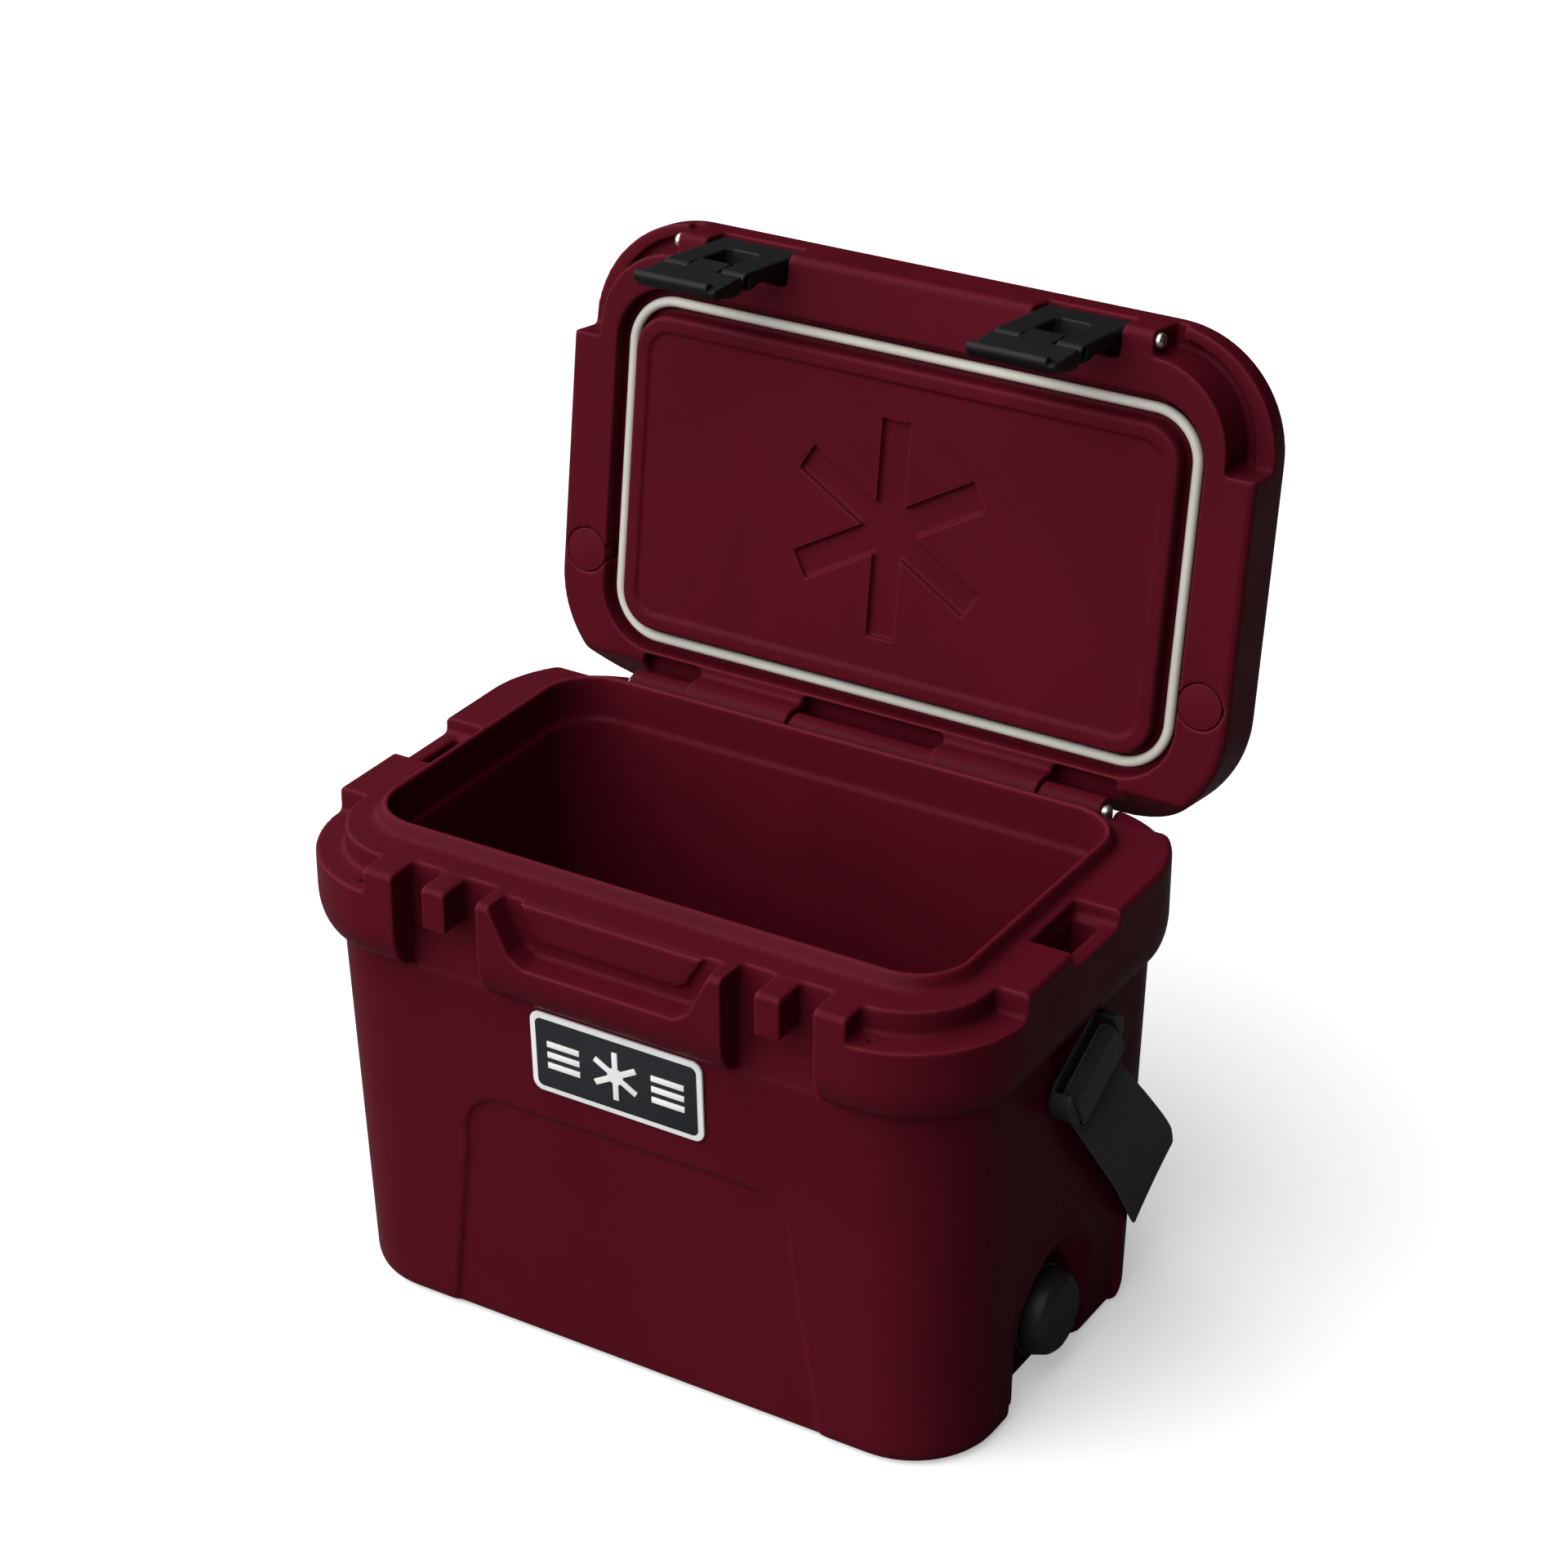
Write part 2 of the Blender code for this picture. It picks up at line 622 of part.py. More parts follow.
def make_latch(lid, word, side, black, steel):
    """A frame that swings on a pin in the lid, with a pull lever pinned between its arms.

    Frame points are (v, u) pairs: u runs from the pin along the latch and v points away from the tub.
    With the lid closed that is u down and v to the front.
    """
    middle = side * LATCH_X
    shaft = ((side * 70, LATCH_PIN_R - 0.6), (side * 70.6, LATCH_PIN_R), (side * 145.4, LATCH_PIN_R))
    head = ((side * 145.4, LATCH_PIN_HEAD_R), (side * 147.2, LATCH_PIN_HEAD_R), (side * 148.6, 3.0))
    ends = shaft + head
    turned_x("latch_pin_" + word, ends, LATCH_Y, LATCH_Z, steel, lid, 20)

    swing = empty("latch_axis_" + word, (0, LATCH_Y, LATCH_Z), lid)
    swing.rotation_euler.x = math.radians(LATCH_REST)

    def frame_profile(profile):
        return [(-v, -u) for u, v in profile]

    low, high = middle - LATCH_HALF, middle + LATCH_HALF
    body = [(-9.0, 3.6), (46.0, 3.4)]
    body += [
        (LEVER_PIVOT_U + a, LEVER_PIVOT_V + b) for a, b in arc(0, 0, 4.9, 78, -78, 6)
    ]
    body += [(46.0, -6.2), (-4.0, -6.2), (-9.0, -3.0)]
    frame = prism_x("latch_frame_" + word, frame_profile(body), low, high, black, swing)
    window = [(7.0, 12), (60.0, 12), (60.0, -16), (7.0, -16)]
    window_half = 9.4
    cut(
        frame,
        prism_x(
            "latch_window_" + word,
            frame_profile(window),
            middle - window_half,
            middle + window_half,
            None,
            swing,
        ),
    )
    bore = ((low - 5, LATCH_PIN_R + FIT_GAP), (high + 5, LATCH_PIN_R + FIT_GAP))
    cut(frame, turned_x("latch_bore_" + word, bore, 0, 0, None, swing, 20))

    lever_place = (0, -LEVER_PIVOT_V, -LEVER_PIVOT_U)
    cross = ((low + 1.5, LEVER_PIN_R + FIT_GAP), (high - 1.5, LEVER_PIN_R + FIT_GAP))
    lever_bore = turned_x(
        "lever_bore_" + word, cross, lever_place[1], lever_place[2], None, swing, 16
    )
    cut(frame, lever_bore)
    pin = ((low + 2, LEVER_PIN_R), (high - 2, LEVER_PIN_R))
    turned_x("lever_pin_" + word, pin, lever_place[1], lever_place[2], steel, swing, 16)

    pull = empty("lever_axis_" + word, lever_place, swing)
    pull.rotation_euler.x = math.radians(LEVER_REST)
    plate = [
        (5.8, 4.7),
        (26.5, 4.7),
        (29.5, 5.6),
        (32.6, 7.2),
        (33.4, 6.2),
        (32.6, 3.4),
        (29.0, -1.0),
        (5.8, -3.9),
    ]
    lever = prism_x("latch_lever_" + word, frame_profile(plate), low, high, black, pull)
    tongue = [(-9.2, 4.6), (8.0, 4.6), (8.0, -3.8), (2.0, -4.7), (-4.0, -4.6), (-9.2, -1.0)]
    add(
        lever,
        prism_x("lever_tongue_" + word, frame_profile(tongue), middle - 8.9, middle + 8.9, None, pull),
    )
    pin_hole = ((middle - 12, LEVER_PIN_R + FIT_GAP), (middle + 12, LEVER_PIN_R + FIT_GAP))
    cut(lever, turned_x("lever_hub_" + word, pin_hole, 0, 0, None, pull, 16))


# ---------------------------------------------------------------- drain


def make_drain(parent, black, rubber):
    body = (
        (POCKET_X + 2.3, 26.0),
        (POCKET_X + 5.5, 26.0),
        (POCKET_X + 6.5, 25.0),
        (POCKET_X + 6.5, 17.0),
        (193.8, 17.0),
    )
    outline = ((157.2, 9.0),) + ((POCKET_X + 2.3, 9.0),) + body
    spout = turned_x("drain_spout", outline, DRAIN_Y, DRAIN_Z, black, parent, 28)
    bore = ((150, 6.0), (210, 6.0))
    cut(spout, turned_x("spout_bore", bore, DRAIN_Y, DRAIN_Z, None, parent, 20))
    seal = turned_x(
        "drain_seal", ((POCKET_X + 0.3, 22.5), (POCKET_X + 2.0, 22.5)), DRAIN_Y, DRAIN_Z, rubber, parent
    )
    hole = ((POCKET_X - 5, 9.3), (POCKET_X + 6, 9.3))
    cut(seal, turned_x("seal_hole", hole, DRAIN_Y, DRAIN_Z, None, parent, 28))
    turn = empty("drain_axis", (0, DRAIN_Y, DRAIN_Z), parent)
    cap_outline = (
        (POCKET_X + 6.9, 23.6),
        (POCKET_X + 8.0, 24.6),
        (190.0, 24.2),
        (195.4, 21.9),
        (197.8, 20.4),
        (198.6, 18.6),
    )
    cap = turned_x("drain_cap", cap_outline, 0, 0, black, turn, 32)
    cut(cap, turned_x("cap_hollow", ((170, 17.4), (194.2, 17.4)), 0, 0, None, turn, 28))


# ---------------------------------------------------------------- strap


def make_bracket(parent, swing, word, side, black, steel):
    """A round base fixed to the side, and the bracket that turns on it and holds the strap's bar.

    The bracket's own frame has y along the bar and its origin on the bar's middle.
    """
    outline = ((side * (PIVOT_X + 0.2), 12.0), (side * (PIVOT_X + 1.5), 12.0))
    turned_x("strap_base_" + word, outline, PIVOT_Y, PIVOT_Z, steel, parent, 20)

    tilt = empty("bracket_frame_" + word, (0, BAR_Y - PIVOT_Y, BAR_Z - PIVOT_Z), swing)
    tilt.rotation_euler.x = math.radians(BAR_TILT)
    lift = math.radians(BAR_TILT)
    over = (PIVOT_Y - BAR_Y) * math.cos(lift) + (PIVOT_Z - BAR_Z) * math.sin(lift)
    below = (PIVOT_Z - BAR_Z) * math.cos(lift) - (PIVOT_Y - BAR_Y) * math.sin(lift)
    plate = arc(22, 0, EAR_R, -70, 90, 8) + arc(-19.5, -1, FRONT_EAR_R, 90, 250, 8)
    plate += arc(over, below, 12, 195, 345, 8)
    x0, x1 = span(side, PIVOT_X + 1.8, PIVOT_X + 3.9)
    bracket = prism_x("strap_bracket_" + word, plate, x0, x1, black, tilt)
    ears = (("back", arc(22, 0, EAR_R, -74, 74, 12)), ("front", arc(-19.5, -1, FRONT_EAR_R, 115, 245, 12)))
    x0, x1 = span(side, PIVOT_X + 1.8, PIVOT_X + 14.0)
    for tag, ear in ears:
        add(bracket, prism_x(f"ear_{tag}_{word}", ear, x0, x1, None, tilt))
    rings = []
    for y in (-24.4, 24.4):
        bar = arc(side * (PIVOT_X + BAR_OUT), 0, BAR_R, 0, 337.5, 15)
        rings.append([(x, y, z) for x, z in bar])
    loft("strap_bar_" + word, rings, steel, tilt)


def smooth_route(points, per_span):
    """Points on a Catmull-Rom curve through the route's own points."""
    whole = [points[0]] + list(points) + [points[-1]]
    made = []
    for k in range(1, len(whole) - 2):
        p0, p1, p2, p3 = whole[k - 1 : k + 3]
        for i in range(per_span):
            t = i / per_span
            made.append(
                tuple(
                    0.5
                    * (
                        2 * b
                        + (c - a) * t
                        + (2 * a - 5 * b + 4 * c - d) * t * t
                        + (3 * b - a - 3 * c + d) * t**3
                    )
                    for a, b, c, d in zip(p0, p1, p2, p3)
                )
            )
    made.append(points[-1])
    return made


def bar_loop():
    """The strap's folded end: a flap outside the bar, over it and down behind, as rim-frame points."""
    tilt = math.radians(BAR_TILT)
    bend = BAR_R + 0.3 + WEB_THICK / 2
    fold = [(bend + 0.6, FLAP), (bend, FLAP / 2)] + arc(0, 0, bend, 0, -180, 8) + [(-bend, 9.0)]
    return [
        (PIVOT_X + BAR_OUT + out, BAR_Y + down * math.sin(tilt), BAR_Z - down * math.cos(tilt))
        for out, down in fold
    ]


def web_facing(x, y):
    """Which way the strap's flat face looks: sideways, then turned round the rear corner to the back.

    Between the bracket and the back it also leans, so its lower edge hangs in towards the tub.
    """
    out = max(abs(x) - WEB_TURN_X, 0.0)
    back = max(y - WEB_TURN_Y, 0.0)
    after_bracket = min(max((y - 41.0) / 59.0, 0.0), 1.0)
    before_back = min(max((abs(x) - 110.0) / 75.0, 0.0), 1.0)
    down = WEB_LEAN * after_bracket * before_back * math.hypot(out, back)
    return Vector((math.copysign(out, x), back, -down)).normalized()


def make_webbing(swing, finish):
    """The flat strap: it leaves each bar along the side, turns the rear corner and crosses the back."""
    half = bar_loop() + smooth_route(WEB_ROUTE, 3)
    tilt = math.radians(BAR_TILT)
    left = [(-x, y, z) for x, y, z in half[:-1]]
    line = left + list(reversed(half))
    rings = []
    for k, (x, y, z) in enumerate(line):
        before = line[max(k - 1, 0)]
        after = line[min(k + 1, len(line) - 1)]
        run = (Vector(after) - Vector(before)).normalized()
        if y < PIVOT_Y + 8:
            across = Vector((0, math.cos(tilt), math.sin(tilt)))
        else:
            across = web_facing(x, y).cross(run)
            across *= math.copysign(1.0, across.z)
        across = (across - run * across.dot(run)).normalized() * WEB_WIDTH / 2
        face = run.cross(across).normalized() * WEB_THICK / 2
        here = Vector((x, y - PIVOT_Y, z - PIVOT_Z))
        corner_signs = ((1, 1), (-1, 1), (-1, -1), (1, -1))
        rings.append([tuple(here + a * across + b * face) for a, b in corner_signs])
    loft("strap_webbing", rings, finish, swing)


# ---------------------------------------------------------------- whole object


def main():
    for old in list(bpy.data.objects):
        bpy.data.objects.remove(old, do_unlink=True)
    wine = material("wine_plastic", WINE, 0.42)
    black = material("black_rubber", BLACK, 0.55)
    webbing = material("black_webbing", BLACK, 0.8)
    seal = material("grey_gasket", GREY, 0.6)
    steel = material("steel", STEEL, 0.3, 1.0)
    foam = material("insulation_foam", FOAM, 0.9)
    badge = material("badge", WHITE, 0.4)

    root = empty("cooler_frame", (0, Y_SHIFT, RIM_Z))
    make_tub(root, wine)
    make_tub_inside(root, foam, wine, black)
    make_badge(root, badge)
    make_hinge_pins(root, steel)
    make_drain(root, black, black)

    hinge = empty("lid_hinge_axis", (0, HINGE_Y, HINGE_Z), root)
    hinge.rotation_euler.x = math.radians(-OPEN_ANGLE)
    lid = empty("lid_closed_frame", (0, -HINGE_Y, -HINGE_Z), hinge)
    make_lid(lid, wine)
    make_lid_inside(lid, foam, wine, seal)

    swing = empty("strap_axis", (0, PIVOT_Y, PIVOT_Z), root)
    for word, side in SIDES:
        make_latch(lid, word, side, black, steel)
        make_bracket(root, swing, word, side, black, steel)
    make_webbing(swing, webbing)
    bpy.context.view_layer.update()


main()
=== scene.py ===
"""Visual model of the small hard cooler: moulded shells, rubber latches and woven webbing.

Shapes are laid out in millimetres in the rim frame: x right, y back, z up, z = 0 on top of the
tub's rim. Lid and latch pieces are laid out as they sit with the lid closed. A place matrix then
takes them to the row frame with the lid at its open stop, where the CAD holds them at rest.
"""

import math

import bmesh
import bpy
from mathutils import Matrix, Vector


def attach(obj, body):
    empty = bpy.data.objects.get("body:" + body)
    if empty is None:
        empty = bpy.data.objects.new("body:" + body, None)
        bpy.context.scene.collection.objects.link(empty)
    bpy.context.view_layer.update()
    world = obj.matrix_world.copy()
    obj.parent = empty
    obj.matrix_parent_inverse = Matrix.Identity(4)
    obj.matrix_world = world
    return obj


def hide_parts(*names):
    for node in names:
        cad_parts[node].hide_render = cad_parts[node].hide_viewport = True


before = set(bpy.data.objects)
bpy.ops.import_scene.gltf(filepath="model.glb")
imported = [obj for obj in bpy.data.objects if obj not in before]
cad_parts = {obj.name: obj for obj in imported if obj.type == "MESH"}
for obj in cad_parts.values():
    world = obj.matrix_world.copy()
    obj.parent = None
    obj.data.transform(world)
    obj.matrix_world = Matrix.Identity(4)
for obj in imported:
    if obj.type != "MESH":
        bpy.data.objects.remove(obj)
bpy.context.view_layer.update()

MM = 0.001
RIM_Z = 280.0
Y_SHIFT = -50.1

# Tub, lid and latch dimensions: plans are (half width, front, back, corner radius).
RIM = (210.0, -125.0, 151.0, 68.0)
BAND_DROP = 35.0
BAND_END = 59.0
TUB_TOP = (198.0, -108.0, 140.0, 50.0)
TUB_BOTTOM = (194.2, -99.4, 135.2, 50.0)
TUB_BOTTOM_Z = -272.0
SOLE_Z = -278.8
UNDERSIDE_Z = -277.2
FOOT_X = 152.0
FOOT_R = 14.8
FOOT_SEAT_Z = -275.5
FILL_X = 60.0
FILL_Y = 18.0
FILL_R = 12.6
BADGE_Z = -87.5
OPENING = (173.2, -81.7, 114.7, 28.0)
LEDGE = (171.4, -79.9, 112.9, 26.6)
FLOOR_WALL = (161.0, -70.0, 102.5, 24.0)
FLOOR_FLAT = (153.0, -62.0, 94.5, 18.0)
FLOOR_Z = -247.0
LIP_HEIGHT = 8.2
HINGE_Y = 140.0
HINGE_Z = -6.0
HINGE_PIN_R = 4.5
PIN_GAP = 0.3
KNUCKLE_R = 11.0
TUB_KNUCKLE_R = 8.4
OPEN_ANGLE = 97.56
FLANGE_Z = 2.2
LID_TOP_Z = 47.0
LID_SIDE = (210.0, -121.5, 151.0, 66.0)
GASKET = (173.8, -80.0, 115.8, 27.0)
GASKET_R = 2.9
GASKET_Z = 11.0
GROOVE_Z = 14.5
GROOVE_OUT = (180.6, -88.4, 122.4, 34.0)
PANEL = (167.0, -73.2, 109.0, 21.0)
PANEL_Z = 1.0
PANEL_STEP = (158.6, -64.8, 100.6, 14.0)
LINER_Z = 6.8
ARC_X = 145.0
ARC_Y = -61.0
ARC_R = 47.0
ARC_END = -54.0
CHANNEL = 6.5
PLUG_X = 193.5
PLUG_Y = 71.8
PLUG_R = 12.6
LATCH_X = 100.5
LATCH_HALF = 25.5
LATCH_Y = -115.4
LATCH_Z = 8.8
LATCH_REST = 1.3
LATCH_PIN_R = 2.6
LATCH_PIN_HEAD_R = 4.2
LEVER_PIVOT_U = 46.0
LEVER_PIVOT_V = -1.45
LEVER_REST = 6.0
DRAIN_Y = 16.0
DRAIN_Z = -240.0
POCKET_X = 178.0
# The pocket round the drain: its half width, and that of its flare's two ends, as (x, half width).
POCKET_R = 31.5
POCKET_FLARE = ((184.8, 31.5), (198.0, 52.0))
PIVOT_X = 198.0
PIVOT_Y = 30.0
PIVOT_Z = -97.0
BAR_Y = 16.0
BAR_Z = -80.3
BAR_TILT = 28.0
BAR_OUT = 9.5
BAR_R = 2.6
EAR_R = 10.5
FRONT_EAR_R = 13.0
FLAP = 18.0
WEB_WIDTH = 48.0
WEB_THICK = 2.2
WEB_TURN_X = 140.0
WEB_TURN_Y = 88.0
WEB_LEAN = 0.45
WEB_ROUTE = (
    (204.6, 26.3, -99.7),
    (207.0, 41.0, -120.5),
    (208.6, 64.0, -149.0),
    (208.8, 85.0, -175.5),
    (205.0, 103.0, -199.5),
    (197.0, 119.0, -213.5),
    (184.5, 136.5, -223.0),
    (168.0, 148.5, -230.0),
    (148.0, 157.0, -235.0),
    (120.0, 161.5, -238.5),
    (80.0, 163.5, -240.5),
    (40.0, 164.0, -241.0),
    (0.0, 164.0, -241.0),
)
SIDES = (("left", -1), ("right", 1))

# Camera: lens on a 36 mm wide sensor, place in metres, turn in degrees.
LENS = 87.23
CAMERA_AT = (0.93486, -1.47552 + Y_SHIFT * MM, 0.95130 + RIM_Z * MM)
CAMERA_TURN = (62.26, 0.0, 31.39)

# Sun and sky: directions towards the light, then the sky's fade as two dot products and two strengths.
SUN_TOWARD = (-0.31, -0.72, 0.78)
SUN_POWER = 3.0
SUN_SPREAD = 84.0
SKY_TOWARD = (-0.70, -0.42, 0.58)
SKY_RAMP = (0.25, 0.95, 0.0, 1.5)

# The white floor as the camera sees it, with a glow that keeps its shadow light. Its bounce is
# the colour with which it lights the cooler.
FLOOR_SEEN = (0.80, 0.80, 0.80)
FLOOR_GLOW = 0.38
FLOOR_BOUNCE = (0.18, 0.18, 0.18)

# How finely the moulded pieces are rebuilt, and how far their edges are softened.
SHELL_VOXEL = 0.0012
SHELL_ROUNDS = 7
LINER_VOXEL = 0.0009
SMALL_VOXEL = 0.00065
SMALL_ROUNDS = 4


# ---------------------------------------------------------------- places


def shift(x, y, z):
    return Matrix.Translation((x * MM, y * MM, z * MM))


def turn_x(degrees):
    return Matrix.Rotation(math.radians(degrees), 4, "X")


TUB = shift(0, Y_SHIFT, RIM_Z)
LID = TUB @ shift(0, HINGE_Y, HINGE_Z) @ turn_x(-OPEN_ANGLE) @ shift(0, -HINGE_Y, -HINGE_Z)
LATCH = LID @ shift(0, LATCH_Y, LATCH_Z) @ turn_x(LATCH_REST)
LEVER = LATCH @ shift(0, -LEVER_PIVOT_V, -LEVER_PIVOT_U) @ turn_x(LEVER_REST)
BRACKET = TUB @ shift(0, BAR_Y, BAR_Z) @ turn_x(BAR_TILT)


# ---------------------------------------------------------------- mesh helpers


def arc(cx, cy, radius, start, end, steps):
    """Points on a circle in a plane, from start to end degrees."""
    turns = [math.radians(start + (end - start) * k / steps) for k in range(steps + 1)]
    return [(cx + radius * math.cos(t), cy + radius * math.sin(t)) for t in turns]


def ring_of(radius, sides, cx=0.0, cy=0.0):
    return arc(cx, cy, radius, 0, 360 - 360 / sides, sides - 1)


def rounded(half_x, front, back, radius, z, steps=20):
    """A rectangle with round corners in plan, at height z."""
    points = []
    corners = (
        (half_x - radius, back - radius, 0),
        (-half_x + radius, back - radius, 90),
        (-half_x + radius, front + radius, 180),
        (half_x - radius, front + radius, 270),
    )
    for cx, cy, start in corners:
        points += [(x, y, z) for x, y in arc(cx, cy, radius, start, start + 90, steps)]
    return points


def inset(plan, by):
    half_x, front, back, radius = plan
    return (half_x - by, front + by, back - by, max(radius - by, 3.0))


def between(plan_a, plan_b, share):
    return tuple(a + (b - a) * share for a, b in zip(plan_a, plan_b))


def rounded_box(half_a, half_b, radius, steps=5):
    """A round-cornered rectangle about the origin, as (a, b) pairs."""
    points = []
    for sa, sb, start in ((1, 1, 0), (-1, 1, 90), (-1, -1, 180), (1, -1, 270)):
        a, b = sa * (half_a - radius), sb * (half_b - radius)
        points += arc(a, b, radius, start, start + 90, steps)
    return points


def solid(points, faces):
    """A closed mesh object in metres, facing out, from points in millimetres."""
    mesh = bpy.data.meshes.new("form")
    mesh.from_pydata([[c * MM for c in p] for p in points], [], faces)
    work = bmesh.new()
    work.from_mesh(mesh)
    bmesh.ops.recalc_face_normals(work, faces=work.faces)
    work.to_mesh(mesh)
    work.free()
    made = bpy.data.objects.new("form", mesh)
    bpy.context.scene.collection.objects.link(made)
    return made


def loft(rings):
    """A body through rings of equal length, with flat ends."""
    count = len(rings[0])
    points = [p for ring in rings for p in ring]
    faces = [tuple(reversed(range(count)))]
    for k in range(len(rings) - 1):
        for i in range(count):
            j = (i + 1) % count
            faces.append((k * count + i, k * count + j, (k + 1) * count + j, (k + 1) * count + i))
    faces.append(tuple((len(rings) - 1) * count + i for i in range(count)))
    return solid(points, faces)


def prism_x(profile, x0, x1):
    return loft([[(x, y, z) for y, z in profile] for x in (x0, x1)])


def prism_y(profile, y0, y1):
    return loft([[(x, y, z) for x, z in profile] for y in (y0, y1)])


def prism_z(profile, z0, z1):
    return loft([[(x, y, z) for x, y in profile] for z in (z0, z1)])


def block(low, high):
    profile = [(low[0], low[1]), (high[0], low[1]), (high[0], high[1]), (low[0], high[1])]
    return prism_z(profile, low[2], high[2])


def turned_x(outline, y=0.0, z=0.0, sides=64):
    """A body turned about an axis along x through (y, z), from (x, radius) pairs."""
    return loft([[(x, a, b) for a, b in ring_of(radius, sides, y, z)] for x, radius in outline])


def swept_ring(plan, z, radius, sides=20, steps=16):
    """A round bead along a round-cornered rectangle."""
    rings = []
    for k in range(sides):
        turn = 2 * math.pi * k / sides
        out = radius * math.cos(turn)
        rings.append(rounded(*inset(plan, -out), z + radius * math.sin(turn), steps))
    count = len(rings[0])
    faces = []
    for k in range(sides):
        for i in range(count):
            j = (i + 1) % count
            m = (k + 1) % sides
            faces.append((k * count + i, k * count + j, m * count + j, m * count + i))
    return solid([p for ring in rings for p in ring], faces)


def drop(*objects):
    for old in objects:
        bpy.data.objects.remove(old, do_unlink=True)


def flatten(target):
    """Applies the target's modifiers to its mesh."""
    graph = bpy.context.evaluated_depsgraph_get()
    mesh = bpy.data.meshes.new_from_object(target.evaluated_get(graph))
    target.modifiers.clear()
    target.data = mesh


def combine(target, tools, operation):
    for tool in tools:
        step = target.modifiers.new("step", "BOOLEAN")
        step.operation = operation
        step.solver = "EXACT"
        step.object = tool
    flatten(target)
    drop(*tools)


def cut(target, *tools):
    combine(target, tools, "DIFFERENCE")


def add(target, *tools):
    combine(target, tools, "UNION")


def soften(target, voxel, rounds):
    """Rebuilds the mesh evenly and smooths it, which rounds every edge as moulding does."""
    step = target.modifiers.new("even", "REMESH")
    step.mode = "VOXEL"
    step.voxel_size = voxel
    step.use_smooth_shade = True
    step = target.modifiers.new("round", "SMOOTH")
    step.factor = 0.5
    step.iterations = rounds
    flatten(target)


def bevel(target, width, segments=3, angle=30):
    step = target.modifiers.new("edge", "BEVEL")
    step.width = width * MM
    step.segments = segments
    step.limit_method = "ANGLE"
    step.angle_limit = math.radians(angle)
    flatten(target)


def settle(target, name, place, body, look, slot, *nodes, sharp=35):
    """Names a finished piece, puts it in the row frame, ties it to its body, and hides the CAD nodes it
    stands for.
    """
    target.name = name
    target.data.name = name
    target.data.transform(place)
    target.data.materials.clear()
    target.data.materials.append(look)
    target.data.shade_smooth()
    if sharp:
        target.data.set_sharp_from_angle(angle=math.radians(sharp))
    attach(target, body)
    if nodes:
        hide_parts(*nodes)
    return target


def mirrored(points, side):
    return [(side * p[0], p[1]) for p in points]


def span(side, near, far):
    return (side * near, side * far) if side > 0 else (side * far, side * near)


# ---------------------------------------------------------------- looks


def shader_of(name, colour, roughness, metallic=0.0, ior=1.5):
    made = bpy.data.materials.new(name)
    made.use_nodes = True
    shader = made.node_tree.nodes["Principled BSDF"]
    shader.inputs["Base Color"].default_value = (*colour, 1.0)
    shader.inputs["Roughness"].default_value = roughness
    shader.inputs["Metallic"].default_value = metallic
    shader.inputs["IOR"].default_value = ior
    return made, made.node_tree, shader


def noise(tree, scale, detail=3.0, rough=0.55):
    node = tree.nodes.new("ShaderNodeTexNoise")
    node.inputs["Scale"].default_value = scale
    node.inputs["Detail"].default_value = detail
    node.inputs["Roughness"].default_value = rough
    place = tree.nodes.new("ShaderNodeTexCoord")
    tree.links.new(place.outputs["Object"], node.inputs["Vector"])
    return node.outputs["Fac"]


def ramp(tree, source, low, high, low_out, high_out):
    node = tree.nodes.new("ShaderNodeMapRange")
    node.inputs["From Min"].default_value = low
    node.inputs["From Max"].default_value = high
    node.inputs["To Min"].default_value = low_out
    node.inputs["To Max"].default_value = high_out
    tree.links.new(source, node.inputs["Value"])
    return node.outputs["Result"]


def tint(tree, factor, colour_a, colour_b):
    node = tree.nodes.new("ShaderNodeMix")
    node.data_type = "RGBA"
    node.inputs["A"].default_value = (*colour_a, 1.0)
    node.inputs["B"].default_value = (*colour_b, 1.0)
    tree.links.new(factor, node.inputs["Factor"])
    return node.outputs["Result"]


def bump(tree, shader, height, strength, distance):
    node = tree.nodes.new("ShaderNodeBump")
    node.inputs["Strength"].default_value = strength
    node.inputs["Distance"].default_value = distance
    tree.links.new(height, node.inputs["Height"])
    tree.links.new(node.outputs["Normal"], shader.inputs["Normal"])


def moulded(name, colour, edge_highlight, roughness, grain=900.0, strength=0.10, ior=1.28):
    """Plastic or rubber moulded in one colour: fine grain, slight mottling, and convex edges paler as a
    painted highlight.
    """
    made, tree, shader = shader_of(name, colour, roughness, ior=ior)
    cloud = noise(tree, 9.0, 4.0)
    deeper = tuple(c * 0.86 for c in colour)
    mottled = tint(tree, ramp(tree, cloud, 0.35, 0.65, 0.0, 1.0), deeper, colour)
    # Convex edges, found by pointiness, are mixed towards a paler colour: a painted highlight.
    edge = tree.nodes.new("ShaderNodeNewGeometry")
    edge_highlight_share = ramp(tree, edge.outputs["Pointiness"], 0.515, 0.56, 0.0, 0.55)
    mix = tree.nodes.new("ShaderNodeMix")
    mix.data_type = "RGBA"
    mix.inputs["B"].default_value = (*edge_highlight, 1.0)
    tree.links.new(mottled, mix.inputs["A"])
    tree.links.new(edge_highlight_share, mix.inputs["Factor"])
    tree.links.new(mix.outputs["Result"], shader.inputs["Base Color"])
    smear = noise(tree, 34.0, 5.0)
    tree.links.new(
        ramp(tree, smear, 0.3, 0.7, roughness - 0.05, roughness + 0.07), shader.inputs["Roughness"]
    )
    bump(tree, shader, noise(tree, grain, 2.0), strength, 0.0004)
    return made


def metal(name, colour, roughness):
    made, tree, shader = shader_of(name, colour, roughness, 1.0)
    scuff = noise(tree, 400.0, 4.0)
    tree.links.new(
        ramp(tree, scuff, 0.3, 0.7, roughness - 0.08, roughness + 0.12), shader.inputs["Roughness"]
    )
    bump(tree, shader, scuff, 0.06, 0.0003)
    return made


